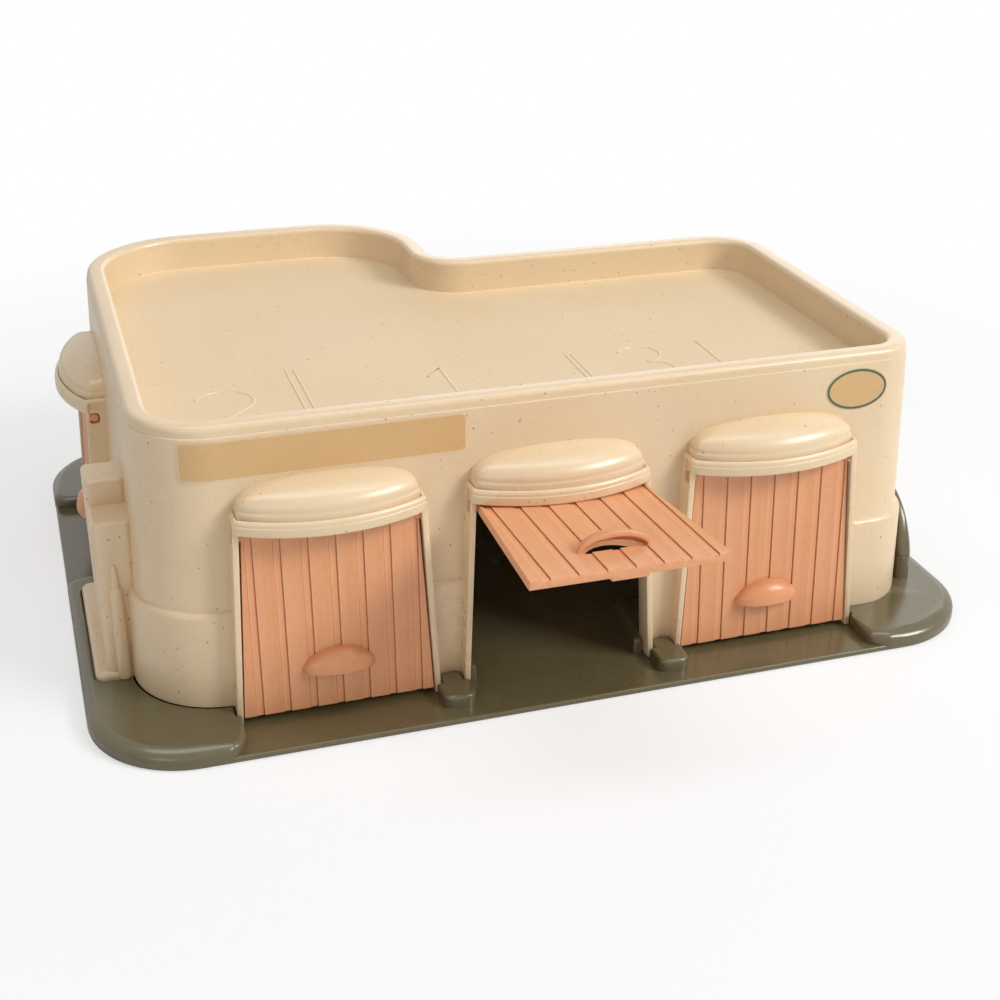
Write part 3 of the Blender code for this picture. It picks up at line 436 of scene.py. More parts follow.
def makeShellWall():
    b, d = garageBody, doorPlan
    bm = bmesh.new()
    loft(bm, [[(p.x, p.y, z) for p in bodyOutline(out)] for out, z in bodyProfile()], closeStart=False)
    bmesh.ops.recalc_face_normals(bm, faces=bm.faces)
    draft = toObject("skinDraft", bm)
    skin = draft.modifiers.new("skin", "SOLIDIFY")
    skin.thickness = b["wall"]
    skin.offset = -1
    skin.use_even_offset = True
    skin.use_quality_normals = True
    thick = applied(draft)
    discard(draft)
    openings = bmesh.new()
    for place in modulePlaces:
        rings = []
        for z in (b["foot"] - d["cutFoot"], hoodPlan["lipZ"] - d["cutDrop"]):
            half = halfOpening(z) + d["cheek"] / 2
            rings.append([(x, y, z) for x, y in rectangle(-half, d["cutFront"], half, d["cutBack"])])
        loft(openings, rings, place)
    return cutAway(thick, openings)


# Hoods over the doors: a rounded loaf nested in a wrapped lip with a bead along its top.

hoodPlan = {
    "lipZ": 84.12, "lipHeight": 6.08, "half": 37.5, "depth": 19.95, "bow": 10.0, "blunt": 4.5, "lipStop": -0.2,
    "nest": 2.15, "loafBlunt": 7.5, "loafFoot": 88.9, "fold": 92.8, "foldIn": 0.4, "top": 101.8, "loafEnds": 2.45,
    "loafFront": 2.2, "skin": 2.0, "stations": 44, "bowLess": 0.6, "outerBack": 1.0, "innerBack": -0.25,
    # the lip's section as inset and height: up the front from its foot, over the bead, and down inside
    "lipFoot": ((0.75, 0), (0.3, 0.08), (0.06, 0.32), (0, 0.7)),
    "lipBead": ((0, -2.9), (0.05, -2.55), (0.14, -2.35), (0.24, -2.25), (0.28, -2.05), (0.3, -1.5), (0.4, -1.0),
                (0.68, -0.5), (1.0, -0.13), (1.4, 0), (1.8, -0.15), (2.08, -0.55), (2.18, -1.1), (2.2, -2.2)),
    "lipInside": ((2.2, 0.7), (2.0, 0.2), (1.5, 0)),
    "loafBand": ((0, -1.5), (0.05, -1.0), (0.16, -0.5)),
    "loafDegrees": (2, 5, 9, 13, 18, 24, 30, 36, 42, 48, 54, 60, 66, 71, 76, 80, 84, 87, 89),
}


def hoodCurve(half, depth, bow, blunt, backY):
    radius = (half * half + bow * bow) / (2 * bow)
    cornerY = -depth + radius - math.sqrt(radius * radius - half * half)
    span = min(blunt, half * 0.6)
    endX = -half + span
    endY = -depth + radius - math.sqrt(radius * radius - endX * endX)
    start = Vector((-half, min(cornerY + span * 0.25, backY)))
    corner = Vector((-half, cornerY))
    end = Vector((endX, endY))
    left = [Vector((-half, backY))]
    for step in range(11):
        t = step / 10
        left.append(start * (1 - t) ** 2 + corner * 2 * t * (1 - t) + end * t ** 2)
    middle = []
    count = hoodPlan["stations"]
    for step in range(1, count):
        x = endX + (-2 * endX) * step / count
        middle.append(Vector((x, -depth + radius - math.sqrt(radius * radius - x * x))))
    right = [Vector((-p.x, p.y)) for p in reversed(left)]
    return left + middle + right


def makeLip(place):
    h = hoodPlan
    path = hoodCurve(h["half"], h["depth"], h["bow"], h["blunt"], h["lipStop"])
    low, high = h["lipZ"], h["lipZ"] + h["lipHeight"]
    section = []
    for level, part in ((low, "lipFoot"), (high, "lipBead"), (low, "lipInside")):
        section += [(inset, level + rise) for inset, rise in h[part]]
    rings = []
    last = len(path) - 1
    for index, point in enumerate(path):
        ahead = path[min(index + 1, last)] - path[max(index - 1, 0)]
        inward = Vector((-ahead.y, ahead.x)).normalized()
        rings.append([(*(point + inward * inset), z) for inset, z in section])
    return lofted(rings, place)


def loafRings(inset, backOut):
    # an upright band, a fold, and the domed top
    h = hoodPlan
    half, depth, bow = h["half"] - h["nest"] - inset, h["depth"] - h["nest"] - inset, h["bow"] - h["bowLess"]
    fold, high = h["fold"] - inset, h["top"] - inset
    band = [(0, h["loafFoot"])] + [(back, fold + rise) for back, rise in h["loafBand"]] + [(h["foldIn"], fold)]
    levels = [(half - back, depth - back, bow, h["loafBlunt"], z) for back, z in band]
    half, depth = half - h["foldIn"], depth - h["foldIn"]
    for degrees in h["loafDegrees"]:
        rise = math.sin(math.radians(degrees)) ** (2 / h["loafFront"])
        reach = math.cos(math.radians(degrees)) ** (2 / h["loafFront"])
        across = (1 - rise ** h["loafEnds"]) ** (1 / h["loafEnds"])
        levels.append((half * across, depth * reach, max(bow * reach, 0.02), h["loafBlunt"] * reach,
                       fold + (high - fold) * rise))
    rings = []
    for wide, out, bow, blunt, z in levels:
        rings.append([(p.x, p.y, z) for p in hoodCurve(wide, out, bow, blunt, backOut - wallOut(z))])
    return rings


def makeLoaf(bm, place):
    h = hoodPlan
    outer = loft(bm, loafRings(0, h["outerBack"]), place, closeStart=False)
    inner = loft(bm, loafRings(h["skin"], h["innerBack"]), place, closeStart=False)
    count = len(outer[0])
    for index in range(count):
        after = (index + 1) % count
        bm.faces.new((outer[0][after], outer[0][index], inner[0][index], inner[0][after]))


# Cheeks: flared side plates with a short guide channel down to the hinge pin's hole.

cheekPlan = {
    "inside": 3.2, "proud": 0.5, "proudTop": 2.0, "under": 83.6, "nestFront": -8.85, "nestRise": 0.8, "top": 89.3,
    "bevel": 0.3, "channelHalf": 2.3, "channelDeep": 0.8, "channelTop": 88.8, "channelSlack": 0.12, "toolOut": 1.8,
    "holeHalf": 2.35, "holeRound": 1.6, "holeStart": -1.5, "holeEnd": 4.0,
}


def channelTool(side, place, slack):
    c, d = cheekPlan, doorPlan
    half, top = c["channelHalf"] + slack, c["channelTop"] + slack
    points = [(-d["standOff"] - half, top), (-d["standOff"] - half, d["pivotZ"])]
    for step in range(1, 12):
        turn = math.pi * step / 12
        points.append((-d["standOff"] - half * math.cos(turn), d["pivotZ"] - half * math.sin(turn)))
    points += [(-d["standOff"] + half, d["pivotZ"]), (-d["standOff"] + half, top)]
    rings = []
    for out in (-c["channelDeep"] - slack, c["toolOut"]):
        rings.append([(side * (halfOpening(z) + d["cheek"] + out), y, z) for y, z in points])
    return lofted(rings, place)


def makeCheek(side, place):
    c, d = cheekPlan, doorPlan
    foot, skirt, step = garageBody["foot"], garageBody["skirt"], garageBody["skirtStep"]
    outline = [(doorLine(foot) - d["face"] - c["proud"], foot)]
    outline += [(c["inside"] - wallOut(z), z) for z in (foot, skirt - step, skirt + step, c["top"])]
    outline += [(c["nestFront"], c["top"]), (c["nestFront"], c["under"] + c["nestRise"]),
                (doorLine(c["under"]) - d["face"] - c["proudTop"], c["under"])]
    bm = lofted([[(side * (halfOpening(z) + thick), y, z) for y, z in outline] for thick in (0, d["cheek"])], place)
    bmesh.ops.recalc_face_normals(bm, faces=bm.faces)
    edges = [e for e in bm.edges if e.calc_face_angle(0) > math.radians(50)]
    bmesh.ops.bevel(bm, geom=edges, offset=c["bevel"], segments=2, profile=0.5, affect="EDGES", clamp_overlap=True)
    bm = cutAway(bm, channelTool(side, place, 0))
    half = c["holeHalf"]
    square = roundCorners(rectangle(-half, -half, half, half), [c["holeRound"]] * 4, 4)
    rings = []
    for past in (c["holeStart"], c["holeEnd"]):
        x = side * (halfOpening(d["pivotZ"]) + past)
        rings.append([(x, p.x - d["standOff"], p.y + d["pivotZ"]) for p in square])
    return cutAway(bm, lofted(rings, place))


toPiece("shellWall", makeShellWall(), *shellFit, 30)
print("body skin ready")
for name, place in zip(moduleNames, modulePlaces):
    lip = makeLip(place)
    for side in (-1, 1):
        lip = cutAway(lip, channelTool(side, place, cheekPlan["channelSlack"]))
    toPiece("hoodLip" + name, lip, *shellFit, 40)
    loaf = bmesh.new()
    makeLoaf(loaf, place)
    toPiece("hoodLoaf" + name, loaf, *shellFit, 50)
    for side, label in ((-1, "Near"), (1, "Far")):
        toPiece("cheek" + name + label, makeCheek(side, place), *shellFit, 35)
print("hoods and cheeks ready")


# Bay lines and plain bay numbers raised on the roof deck.

deckPlan = {
    "height": 0.32, "sink": 0.3, "lineWide": 0.9, "figureWide": 1.5, "front": -105.0,
    "lines": {-28.0: (-90.4, -86.9), -45.0: (29.6, 32.0, 91.2)},  # far end: places along the wall
}


def raisedLine(bm, path, wide):
    half, height, sink = wide / 2, deckPlan["height"], deckPlan["sink"]
    flank = [(-half - 0.25, -sink), (-half, 0.05), (-half * 0.8, height * 0.75), (-half * 0.35, height)]
    section = flank + [(-offset, z) for offset, z in reversed(flank)]
    points = [Vector(p) for p in path]
    rings = []
    last = len(points) - 1
    for index, point in enumerate(points):
        ahead = (points[min(index + 1, last)] - points[max(index - 1, 0)]).normalized()
        across = Vector((-ahead.y, ahead.x))
        rings.append([(*(point + across * offset), garageBody["deck"] + z) for offset, z in section])
    loft(bm, rings)


def arcPath(centre, radius, start, end, steps=14):
    path = []
    for step in range(steps + 1):
        turn = math.radians(start + (end - start) * step / steps)
        path.append((centre[0] + radius * math.cos(turn), centre[1] + radius * math.sin(turn)))
    return path


bayFigures = {
    "two": [arcPath((-120.5, -55.5), 12.0, 160, -30) + [(-131.0, -82.0)], [(-133.0, -82.0), (-107.0, -82.0)]],
    "one": [[(-34.5, -52.5), (-27.0, -44.0), (-27.0, -82.0)]],
    "three": [arcPath((60.5, -53.2), 9.5, 150, -88) + arcPath((60.5, -72.2), 9.5, 88, -150)],
}


def makeRoofLines():
    p = deckPlan
    bm = bmesh.new()
    for far, places in p["lines"].items():
        for x in places:
            raisedLine(bm, [(x, p["front"]), (x, far)], p["lineWide"])
    for paths in bayFigures.values():
        for path in paths:
            raisedLine(bm, path, p["figureWide"])
    return bm


toPiece("roofLines", makeRoofLines(), *shellFit, 35)


# The pump on the left wall, with its nozzle in relief.

pumpPlan = {
    "front": -88.0, "length": 36.6, "frontLength": 18.0, "frontShort": 1.0, "out": 15.7, "rearProud": 0.5,
    "top": 87.5, "tierDrop": 10.5, "round": 3.2, "topRound": 1.3, "inWall": 1.0, "footOut": 20.7, "footIn": 3.8,
    "footFront": -89.0, "footBack": -8.0, "footTop": 11.0, "footCorner": 4.0, "footRound": 2.2,
}


def makePump():
    # two tiers and a low foot, each: left, front, right, back, top, corner and top rounding
    p, left = pumpPlan, garageBody["left"]
    low, top, back = p["top"] - p["tierDrop"], p["top"], p["front"] + p["length"]
    blocks = [
        (left - p["out"], p["front"], left - wallOut(low) + p["inWall"], back - p["frontShort"], low,
         p["round"], p["topRound"]),
        (left - p["out"] - p["rearProud"], p["front"] + p["frontLength"], left - wallOut(top) + p["inWall"], back,
         top, p["round"], p["topRound"]),
        (left - p["footOut"], p["footFront"], left - p["footIn"], p["footBack"], p["footTop"], p["footCorner"],
         p["footRound"]),
    ]
    bm = bmesh.new()
    for x0, y0, x1, y1, height, corner, soft in blocks:
        softBlock(bm, (x0, y0, garageBody["foot"]), (x1, y1, height), corner, soft, flatSide=True)
    return bm


nozzlePlan = {
    "x": -172.35, "wide": 5.4, "deep": 3.0, "root": 1.0, "proud": 0.1, "bulge": 0.8,
    # share of the width, and height: body, shoulder, thin tip
    "sections": ((0.86, 8.2), (0.96, 8.9), (1.0, 10.0), (0.99, 20), (0.97, 32), (0.95, 44), (0.93, 47.4),
                 (0.86, 48.3), (0.74, 48.9), (0.62, 49.2), (0.60, 49.6), (0.54, 52.0), (0.44, 55.5), (0.36, 57.6),
                 (0.24, 58.6), (0.1, 59.0)),
}


def makeNozzle():
    n, front = nozzlePlan, pumpPlan["front"]
    rings = []
    for share, z in n["sections"]:
        half = n["wide"] * share / 2
        ring = [(n["x"] - half, front + n["root"], z)]
        for step in range(17):
            angle = math.pi * step / 16
            out = n["deep"] * share * math.sin(angle) ** n["bulge"]
            ring.append((n["x"] - half * math.cos(angle), front - n["proud"] - out, z))
        rings.append(ring + [(n["x"] + half, front + n["root"], z)])
    return lofted(rings)


toPiece("wallPump", makePump(), *shellFit, 45)
toPiece("pumpNozzle", makeNozzle(), *shellFit, 45)
print("roof lines and pump ready")


# The ground plate: slab, soft kerbs, noses, guides, stops and the upright.

platePlan = {
    "halfX": 190.0, "halfY": 150.0, "corner": 40.0, "kerb": 8.0, "outerRound": 5.0, "innerRound": 0.4, "crest": 50.0,
    "crestRise": 0.8, "pocket": 5.9, "driveHalf": 134.5, "blockLeft": -132.2, "blockRight": 133.2, "notch": -129.7,
    "mouth": -146.5, "splay": 7.6, "sideHalf": 41.94, "pumpLeft": -184.6, "pumpFront": -89.6, "pumpBack": -7.4,
    "pumpRound": 4.6, "kerbSteps": 7, "kerbFlat": 0.25,
    "kerbFoot": ((0.5, 0.9), (0.15, 1.05), (0.0, 1.4)),  # inward, height
    "slabEdge": ((1.1, 0), (0.5, 0.15), (0.2, 0.6), (0.2, 1.7), (0.32, 2.15), (0.62, 2.42), (1.1, 2.5), (1.5, 2.5)),
}


def edgeNormals(points):
    normals = []
    for index in range(len(points)):
        before = (points[index] - points[index - 1]).normalized()
        after = (points[(index + 1) % len(points)] - points[index]).normalized()
        across = (Vector((-before.y, before.x)) + Vector((-after.y, after.x))).normalized()
        reach = max(across.dot(Vector((-after.y, after.x))), 0.5)
        normals.append(across / reach)
    return normals


def kerbIsland(bm, corners):
    # each corner: x, y, its radius in plan, and the softness of the top edge there
    p = platePlan
    points, softness = [], []
    for index, (x, y, radius, soft) in enumerate(corners):
        spots = [corners[index - 1][:2], (x, y), corners[(index + 1) % len(corners)][:2]]
        arc = roundCorners(spots, [0, radius, 0], 14)[1:-1]
        points += arc
        softness += [soft] * len(arc)
    normals = edgeNormals(points)
    rings = []
    for inset, z in p["kerbFoot"]:
        rings.append([(q.x + n.x * inset, q.y + n.y * inset, z) for q, n in zip(points, normals)])
    steps, crest = p["kerbSteps"], math.radians(p["crest"])
    levels = []
    for step in range(steps + 1):
        turn = crest * step / steps
        share = (1 - math.cos(turn)) / (1 - math.cos(crest))
        levels.append((share, p["crestRise"] * (1 - math.sin(turn) / math.sin(crest)), 0))
    levels.append((1, 0, p["kerbFlat"]))
    for share, drop, more in levels:
        ring = []
        for point, normal, soft in zip(points, normals, softness):
            inward = point + normal * (soft * share + more)
            ring.append((inward.x, inward.y, p["kerb"] - soft * drop))
        rings.append(ring)
    loft(bm, rings)


def makeKerbs():
    p, b = platePlan, garageBody
    x, y, soft, crisp, pocket = p["halfX"], p["halfY"], p["outerRound"], p["innerRound"], p["pocket"]
    pocketL, pocketR, pocketF = b["left"] - pocket, b["right"] + pocket, b["front"] - pocket
    drive, mouth, notch, splay = p["driveHalf"], p["mouth"], p["notch"], p["splay"]
    blockL, blockR, pumpL, pumpSoft = p["blockLeft"], p["blockRight"], p["pumpLeft"], p["pumpRound"]
    sideLow, sideHigh = doorPlan["sideY"] - p["sideHalf"], doorPlan["sideY"] + p["sideHalf"]
    bm = bmesh.new()
    kerbIsland(bm, [
        (-x, -y, p["corner"], soft), (blockL - splay, -y, 10, 3.4), (blockL, mouth, 9, 2.4),
        (blockL, notch, 1.0, crisp), (-drive, notch, 0.9, crisp), (-drive, pocketF, 0.9, crisp),
        (pocketL, pocketF, b["frontLeft"] + pocket, crisp), (pocketL, p["pumpFront"], 1.0, crisp),
        (pumpL, p["pumpFront"], pumpSoft, crisp), (pumpL, p["pumpBack"], pumpSoft, crisp),
        (pocketL, p["pumpBack"], 1.0, crisp), (pocketL, sideLow, 1.0, crisp), (-x, sideLow, 8, 2.4),
    ])
    back, step = b["leftBack"] + pocket, b["rightBack"] + pocket
    wide = b["backRound"] + pocket
    wingCorner = arcPath((b["left"] + b["backRound"], b["leftBack"] - b["backRound"]), wide, 176.4, 91, 26)
    kerbIsland(bm, [
        (-x, sideHigh, 8, 2.4), (pocketL + 0.05, sideHigh, 0.9, crisp), *((*spot, 0, crisp) for spot in wingCorner),
        (pocket, back, wide, crisp), (pocket, step, b["inner"] - pocket, crisp),
        (pocketR, step, b["rightRound"] + pocket, crisp), (pocketR, pocketF, b["frontRight"] + pocket, crisp),
        (drive, pocketF, 0.9, crisp), (drive, notch, 0.4, crisp), (blockR, notch, 0.8, crisp),
        (blockR, mouth, 5, 2.4), (blockR + splay, -y, 7, 3.4), (x, -y, p["corner"], soft), (x, y, p["corner"], soft),
        (-x, y, p["corner"], soft),
    ])
    return bm


def makeSlab():
    p = platePlan
    rings = []
    for inset, z in p["slabEdge"]:
        x, y = p["halfX"] - inset, p["halfY"] - inset
        outline = roundCorners(rectangle(-x, -y, x, y), [p["corner"] - inset] * 4, 20)
        rings.append([(q.x, q.y, z) for q in outline])
    return lofted(rings)


nosePlan = {
    "foot": 2.0, "front": -142.0, "gap": 0.5, "slack": 0.4, "round": 4.5, "top": 8.0, "topRound": 1.6,
    "neckBack": 0.9, "neckSlim": 0.1, "small": 0.9, "neckRound": 0.4, "guideBehind": 2.2, "guideLength": 30.0,
    "guideRound": 2.0, "guideTop": 1.2, "draw": 0.6,
}


def makeNoses():
    # between each two front doors: a nose on the driveway and a guide in the hall
    n, d, b = nosePlan, doorPlan, garageBody
    bm = bmesh.new()
    half = d["spacing"] / 2 - halfOpening(b["foot"]) - n["slack"]
    slim = half - d["cheek"] - n["neckSlim"]
    skirtFront = b["front"] - wallOut(b["foot"])
    cheekFront = b["front"] + doorLine(b["foot"]) - d["face"] - cheekPlan["proud"]
    guideFront = skirtFront + b["wall"] + n["guideBehind"]
    for side in (-1, 1):
        x = side * d["spacing"] / 2
        rings = []
        for inset, z in softTop(n["foot"], n["top"], n["topRound"], 6):
            wide, narrow = half - inset, slim - inset * n["draw"]
            front, back, neck = n["front"] + inset, cheekFront - n["gap"] - inset, skirtFront - n["neckBack"]
            corners = [(-wide, front), (wide, front), (wide, back), (narrow, back), (narrow, neck), (-narrow, neck),
                       (-narrow, back), (-wide, back)]
            corner, neckCorner = n["round"] - inset * n["draw"], n["neckRound"]
            radii = [corner, corner, n["small"], 0, neckCorner, neckCorner, 0, n["small"]]
            rings.append([(x + q.x, q.y, z) for q in roundCorners(corners, radii, 8)])
        loft(bm, rings)
        softBlock(bm, (x - half, guideFront, n["foot"]), (x + half, guideFront + n["guideLength"], n["top"]),
                  n["guideRound"], n["guideTop"])
    return bm


stopPlan = {"foot": 2.0, "top": 9.0, "doorFoot": 4.9, "behind": 0.5, "aside": 0.6, "wide": 3.6, "deep": 3.0,
            "round": 0.7, "topRound": 0.6}


def makeStops():
    t = stopPlan
    bm = bmesh.new()
    near = doorLine(t["doorFoot"]) + doorPlan["inside"] + t["behind"]
    outside = halfOpening(garageBody["foot"]) - t["aside"]
    for place in modulePlaces:
        for side in (-1, 1):
            x = sorted((side * outside, side * (outside - t["wide"])))
            softBlock(bm, (x[0], near, t["foot"]), (x[1], near + t["deep"], t["top"]), t["round"], t["topRound"],
                      place, steps=3)
    return bm


uprightPlan = {
    "front": -107.55, "length": 76.0, "top": 48.0, "thick": 6.4, "thinTop": 3.6, "thinFrom": 24.0, "thinOver": 14.0,
    "round": 34.0, "edge": 2.4, "edgeSide": 0.7, "foot": 5.0, "kerb": 8.0, "seam": 19.5, "draft": 0.02,
    "offWall": 0.5, "seamLevels": ((-0.35, 0), (-0.15, 0.35), (0.15, 0.35), (0.35, 0)), "sideLess": 2.2,
    "crown": 1.85, "crownRise": 1.8, "crownIn": 1.6,
}


def makeUpright():
    # a round-topped tongue, thinner above and with a seam low down
    u = uprightPlan
    inner = garageBody["right"] + wallOut(u["kerb"]) + u["offWall"]
    back, turnZ, side = u["front"] + u["length"], u["top"] - u["round"], u["top"] - u["seam"] - u["sideLess"]
    heights = [(u["foot"], 0)] + [(u["seam"] + rise, inset) for rise, inset in u["seamLevels"]]
    start = heights[-1][0]
    heights += [(start + side * step / 12, 0) for step in range(1, 13)]
    for turn in quarterTurns(7)[1:]:
        heights.append((u["top"] - u["crown"] + u["crownRise"] * math.sin(turn), u["crownIn"] * (1 - math.cos(turn))))
    rings = []
    for z, inset in heights:
        rise = max(z - turnZ, 0)
        draw = u["round"] - math.sqrt(max(u["round"] ** 2 - rise ** 2, 0))
        share = min(max((z - u["thinFrom"]) / u["thinOver"], 0), 1)
        share = share * share * (3 - 2 * share)
        thick = u["thick"] + (u["thinTop"] - u["thick"]) * share
        far = inner + u["thick"] - inset - u["draft"] * max(z - u["kerb"], 0)
        near = far + inset - thick + inset
        corners = rectangle(near, u["front"] + draw + inset, far, back - draw - inset)
        radius = min(u["edge"], (far - near) / 2 - 0.05)
        small = radius * u["edgeSide"]
        rings.append([(q.x, q.y, z) for q in roundCorners(corners, [small, radius, radius, small], 7)])
    return lofted(rings)


for label, bm in (("plateSlab", makeSlab()), ("plateKerbs", makeKerbs()), ("plateNoses", makeNoses()),
                  ("doorStops", makeStops()), ("plateUpright", makeUpright())):
    toPiece(label, bm, olivePlastic, "plate_plastic", "garage", ["base_plate"], 40)
print("ground plate ready")


# The doors: stepped planks, a cup pull, a lift tab and hinge pins, drawn about the hinge line.

doorLook = {
    "first": 7.9, "pitch": 10.7, "band": 3.0, "bandRamp": 0.12, "bandStep": 0.42, "bandDeep": 0.5, "groove": 0.36,
    "grooveDeep": 1.0, "pullHalf": 14.6, "pullRim": 1.7, "pullHigh": 9.8, "pullOut": 6.6, "pullWall": 1.5,
    "pullRise": 16.2, "pullSink": 0.45, "rimPower": 0.52, "domePower": 0.72, "domeIn": -0.16, "bulge": 0.92,
    "holeSlope": 0.45, "holeLess": 0.3, "holeMore": 0.2, "pinRadius": 1.85, "pinEnd": 36.6, "pinRoot": 33.0,
    "tabWide": 15.0, "tabHigh": 3.0, "tabDeep": 1.4, "tabFoot": 0.4, "tabSink": 0.5, "tabRound": 0.8, "tabDraw": 0.6,
    "softEnd": ((0, 0.45), (0.07, 0.24), (0.22, 0.08), (0.5, 0), (1.0, 0)),  # along, inward
    "softTip": ((0, 0.4), (0.12, 0.12), (0.4, 0)),  # inward, short
    "rimBand": ((0.0, -0.34), (0.1, -0.14), (0.3, -0.03), (0.6, 0.0), (1.2, 0.0), (1.5, -0.08)),  # up, outward
}


def plankRing(distance, inset):
    d, p = doorLook, doorPlan
    half = p["topHalf"] + (p["footHalf"] - p["topHalf"]) * distance / p["height"] - inset
    face, inside = p["face"] - inset, p["inside"] - inset
    outer = [(-half, 0)]
    groove = -p["footHalf"] + d["first"]
    while groove < p["footHalf"] - 0.3 * d["pitch"]:
        band, side, step, deep = groove - d["band"], groove - d["groove"], d["bandStep"], d["bandDeep"]
        ramp = band - d["bandRamp"]
        outer += [(ramp - 0.4, 0), (ramp, 0), (band, step + 0.14), (band + 0.14, step), (band + 0.5, step + 0.01),
                  (side - 0.4, deep - 0.02), (side - 0.1, deep), (side, d["grooveDeep"]),
                  (groove - 0.06, d["grooveDeep"]), (groove, 0.12), (groove + 0.12, 0), (groove + 0.5, 0)]
        groove += d["pitch"]
    outer.append((half, 0))
    points = [(x, -face + deep) for x, deep in outer] + [(half, inside), (-half, inside)]
    return [(x, y, -distance) for x, y in points]


def archShare(t, power):
    return max(1 - abs(t) ** 2.0, 0) ** power


def makeDoorPlate():
    d, p = doorLook, doorPlan
    rings = [plankRing(p["height"] - along, inset) for along, inset in d["softEnd"]]
    rings += [plankRing(along - p["topAbove"], inset) for along, inset in d["softEnd"][::-1]]
    plate = lofted(rings)
    # the way through for fingertips, wider on the inside
    wide, tall = d["pullHalf"] - d["pullWall"] - d["holeLess"], d["pullHigh"] - d["pullWall"] + d["holeMore"]
    foot, slope = d["pullRise"] - p["height"], d["holeSlope"]
    shares = [math.cos(math.pi * step / 32) for step in range(33)]
    rings = []
    for y, grow in ((-4, 0), (0.1 - p["face"], 0), (p["inside"] + 0.1, slope), (5, slope)):
        rings.append([(wide * t, y, foot + tall * (1 + grow) * archShare(t, d["domePower"])) for t in shares])
    return cutAway(plate, lofted(rings))


def makeCup():
    # a lens-shaped cup open below: a rounded rim band under a low dome
    d = doorLook
    bm = bmesh.new()
    foot, face, rim = d["pullRise"] - doorPlan["height"], d["pullSink"] - doorPlan["face"], d["pullRim"]
    across = 48
    rows = [(rim * rise / d["rimBand"][-1][0], grow, 0.0) for rise, grow in d["rimBand"]]
    rows += [(rim, d["domeIn"], lift) for lift in quarterTurns(14)]
    skins = []
    for wall in (0, d["pullWall"]):
        half, high, out = d["pullHalf"] - wall, d["pullHigh"] - rim - wall * 0.6, d["pullOut"] + d["pullSink"] - wall
        grid = []
        for base, grow, lift in rows:
            ring = []
            for column in range(across + 1):
                t = -math.cos(math.pi * column / across)
                reach = max(out * archShare(t, d["rimPower"]) + grow, 0) * math.cos(lift) ** d["bulge"]
                rise = high * archShare(t, d["domePower"]) * math.sin(lift) ** d["bulge"]
                ring.append(bm.verts.new((half * t, face - reach, foot + base + rise)))
            grid.append(ring)
        skins.append(grid)
        for lower, upper in zip(grid, grid[1:]):
            for column in range(across):
                bm.faces.new((lower[column], lower[column + 1], upper[column + 1], upper[column]))
    outer, inner = skins[0][0], skins[1][0]
    for column in range(across):
        bm.faces.new((outer[column + 1], outer[column], inner[column], inner[column + 1]))
    return bm


def makePinsAndTab():
    d = doorLook
    bm = bmesh.new()
    circle = [math.tau * step / 32 for step in range(32)]
    pin = [(d["pinRoot"], d["pinRadius"])]
    pin += [(d["pinEnd"] - short, d["pinRadius"] - inset) for inset, short in d["softTip"]]
    for side in (-1, 1):
        loft(bm, [[(side * x, radius * math.cos(a), radius * math.sin(a)) for a in circle] for x, radius in pin])
    foot, face = d["tabFoot"] - doorPlan["height"], doorPlan["inside"]
    tab = [(0, face - d["tabSink"])] + [(inset, face + d["tabDeep"] - short) for inset, short in d["softTip"]]
    rings = []
    for inset, y in tab:
        x = d["tabWide"] / 2 - inset
        corners = rectangle(-x, foot + inset, x, foot + d["tabHigh"] - inset)
        rings.append([(q.x, y, q.y) for q in roundCorners(corners, [d["tabRound"] - inset * d["tabDraw"]] * 4, 4)])
    loft(bm, rings)
    return bm


for name, node, bodyName, place in zip(moduleNames, moduleNodes, moduleBodies, modulePlaces):
    opened = doorPlan["open"] if name == "Middle" else 0.0
    hinge = Matrix.Translation((0, -doorPlan["standOff"], doorPlan["pivotZ"]))
    pose = place @ hinge @ Matrix.Rotation(-math.radians(doorPlan["lean"] + opened), 4, "X")
    doorFit = (terracottaPlastic, "door_plastic", bodyName, [node])
    toPiece("doorPlanks" + name, makeDoorPlate(), *doorFit, 20, pose)
    toPiece("doorPull" + name, makeCup(), *doorFit, 60, pose)
    toPiece("doorPins" + name, makePinsAndTab(), *doorFit, 40, pose)
print("doors ready")


# The bare films on the front wall.

filmPlan = {
    "near": 0.05, "thick": 0.2, "stripLeft": -146.8, "stripRight": -36.6, "stripZ": 110.6, "stripHalf": 7.7,
    "stripCorner": 2.0, "border": 0.35, "bandFoot": 0.18, "bandTop": 0.25, "ovalX": 132.2, "ovalZ": 108.6,
    "ovalHalfX": 13.9, "ovalHalfZ": 8.9, "ring": 0.95, "ringIn": 0.3,
}


def wallSpot(along, z, lift):
    # a place on the front wall, bent round the corners
    b = garageBody
    out = wallOut(z) + lift
    radius, limit, side = b["frontRight"], b["right"] - b["frontRight"], 1
    if along < 0:
        radius, limit, side = b["frontLeft"], -b["left"] - b["frontLeft"], -1
    past = abs(along) - limit
    if past <= 0:
        return (along, b["front"] - out, z)
    turn, reach = past / radius, radius + out
    return (side * (limit + reach * math.sin(turn)), b["front"] + radius - reach * math.cos(turn), z)


def filmFrom(stations, centreZ):
    near, far = filmPlan["near"], filmPlan["thick"]
    rings = []
    for along, half in stations:
        edges = ((-half, near), (-half, far), (half, far), (half, near))
        rings.append([wallSpot(along, centreZ + dz, lift) for dz, lift in edges])
    return lofted(rings)


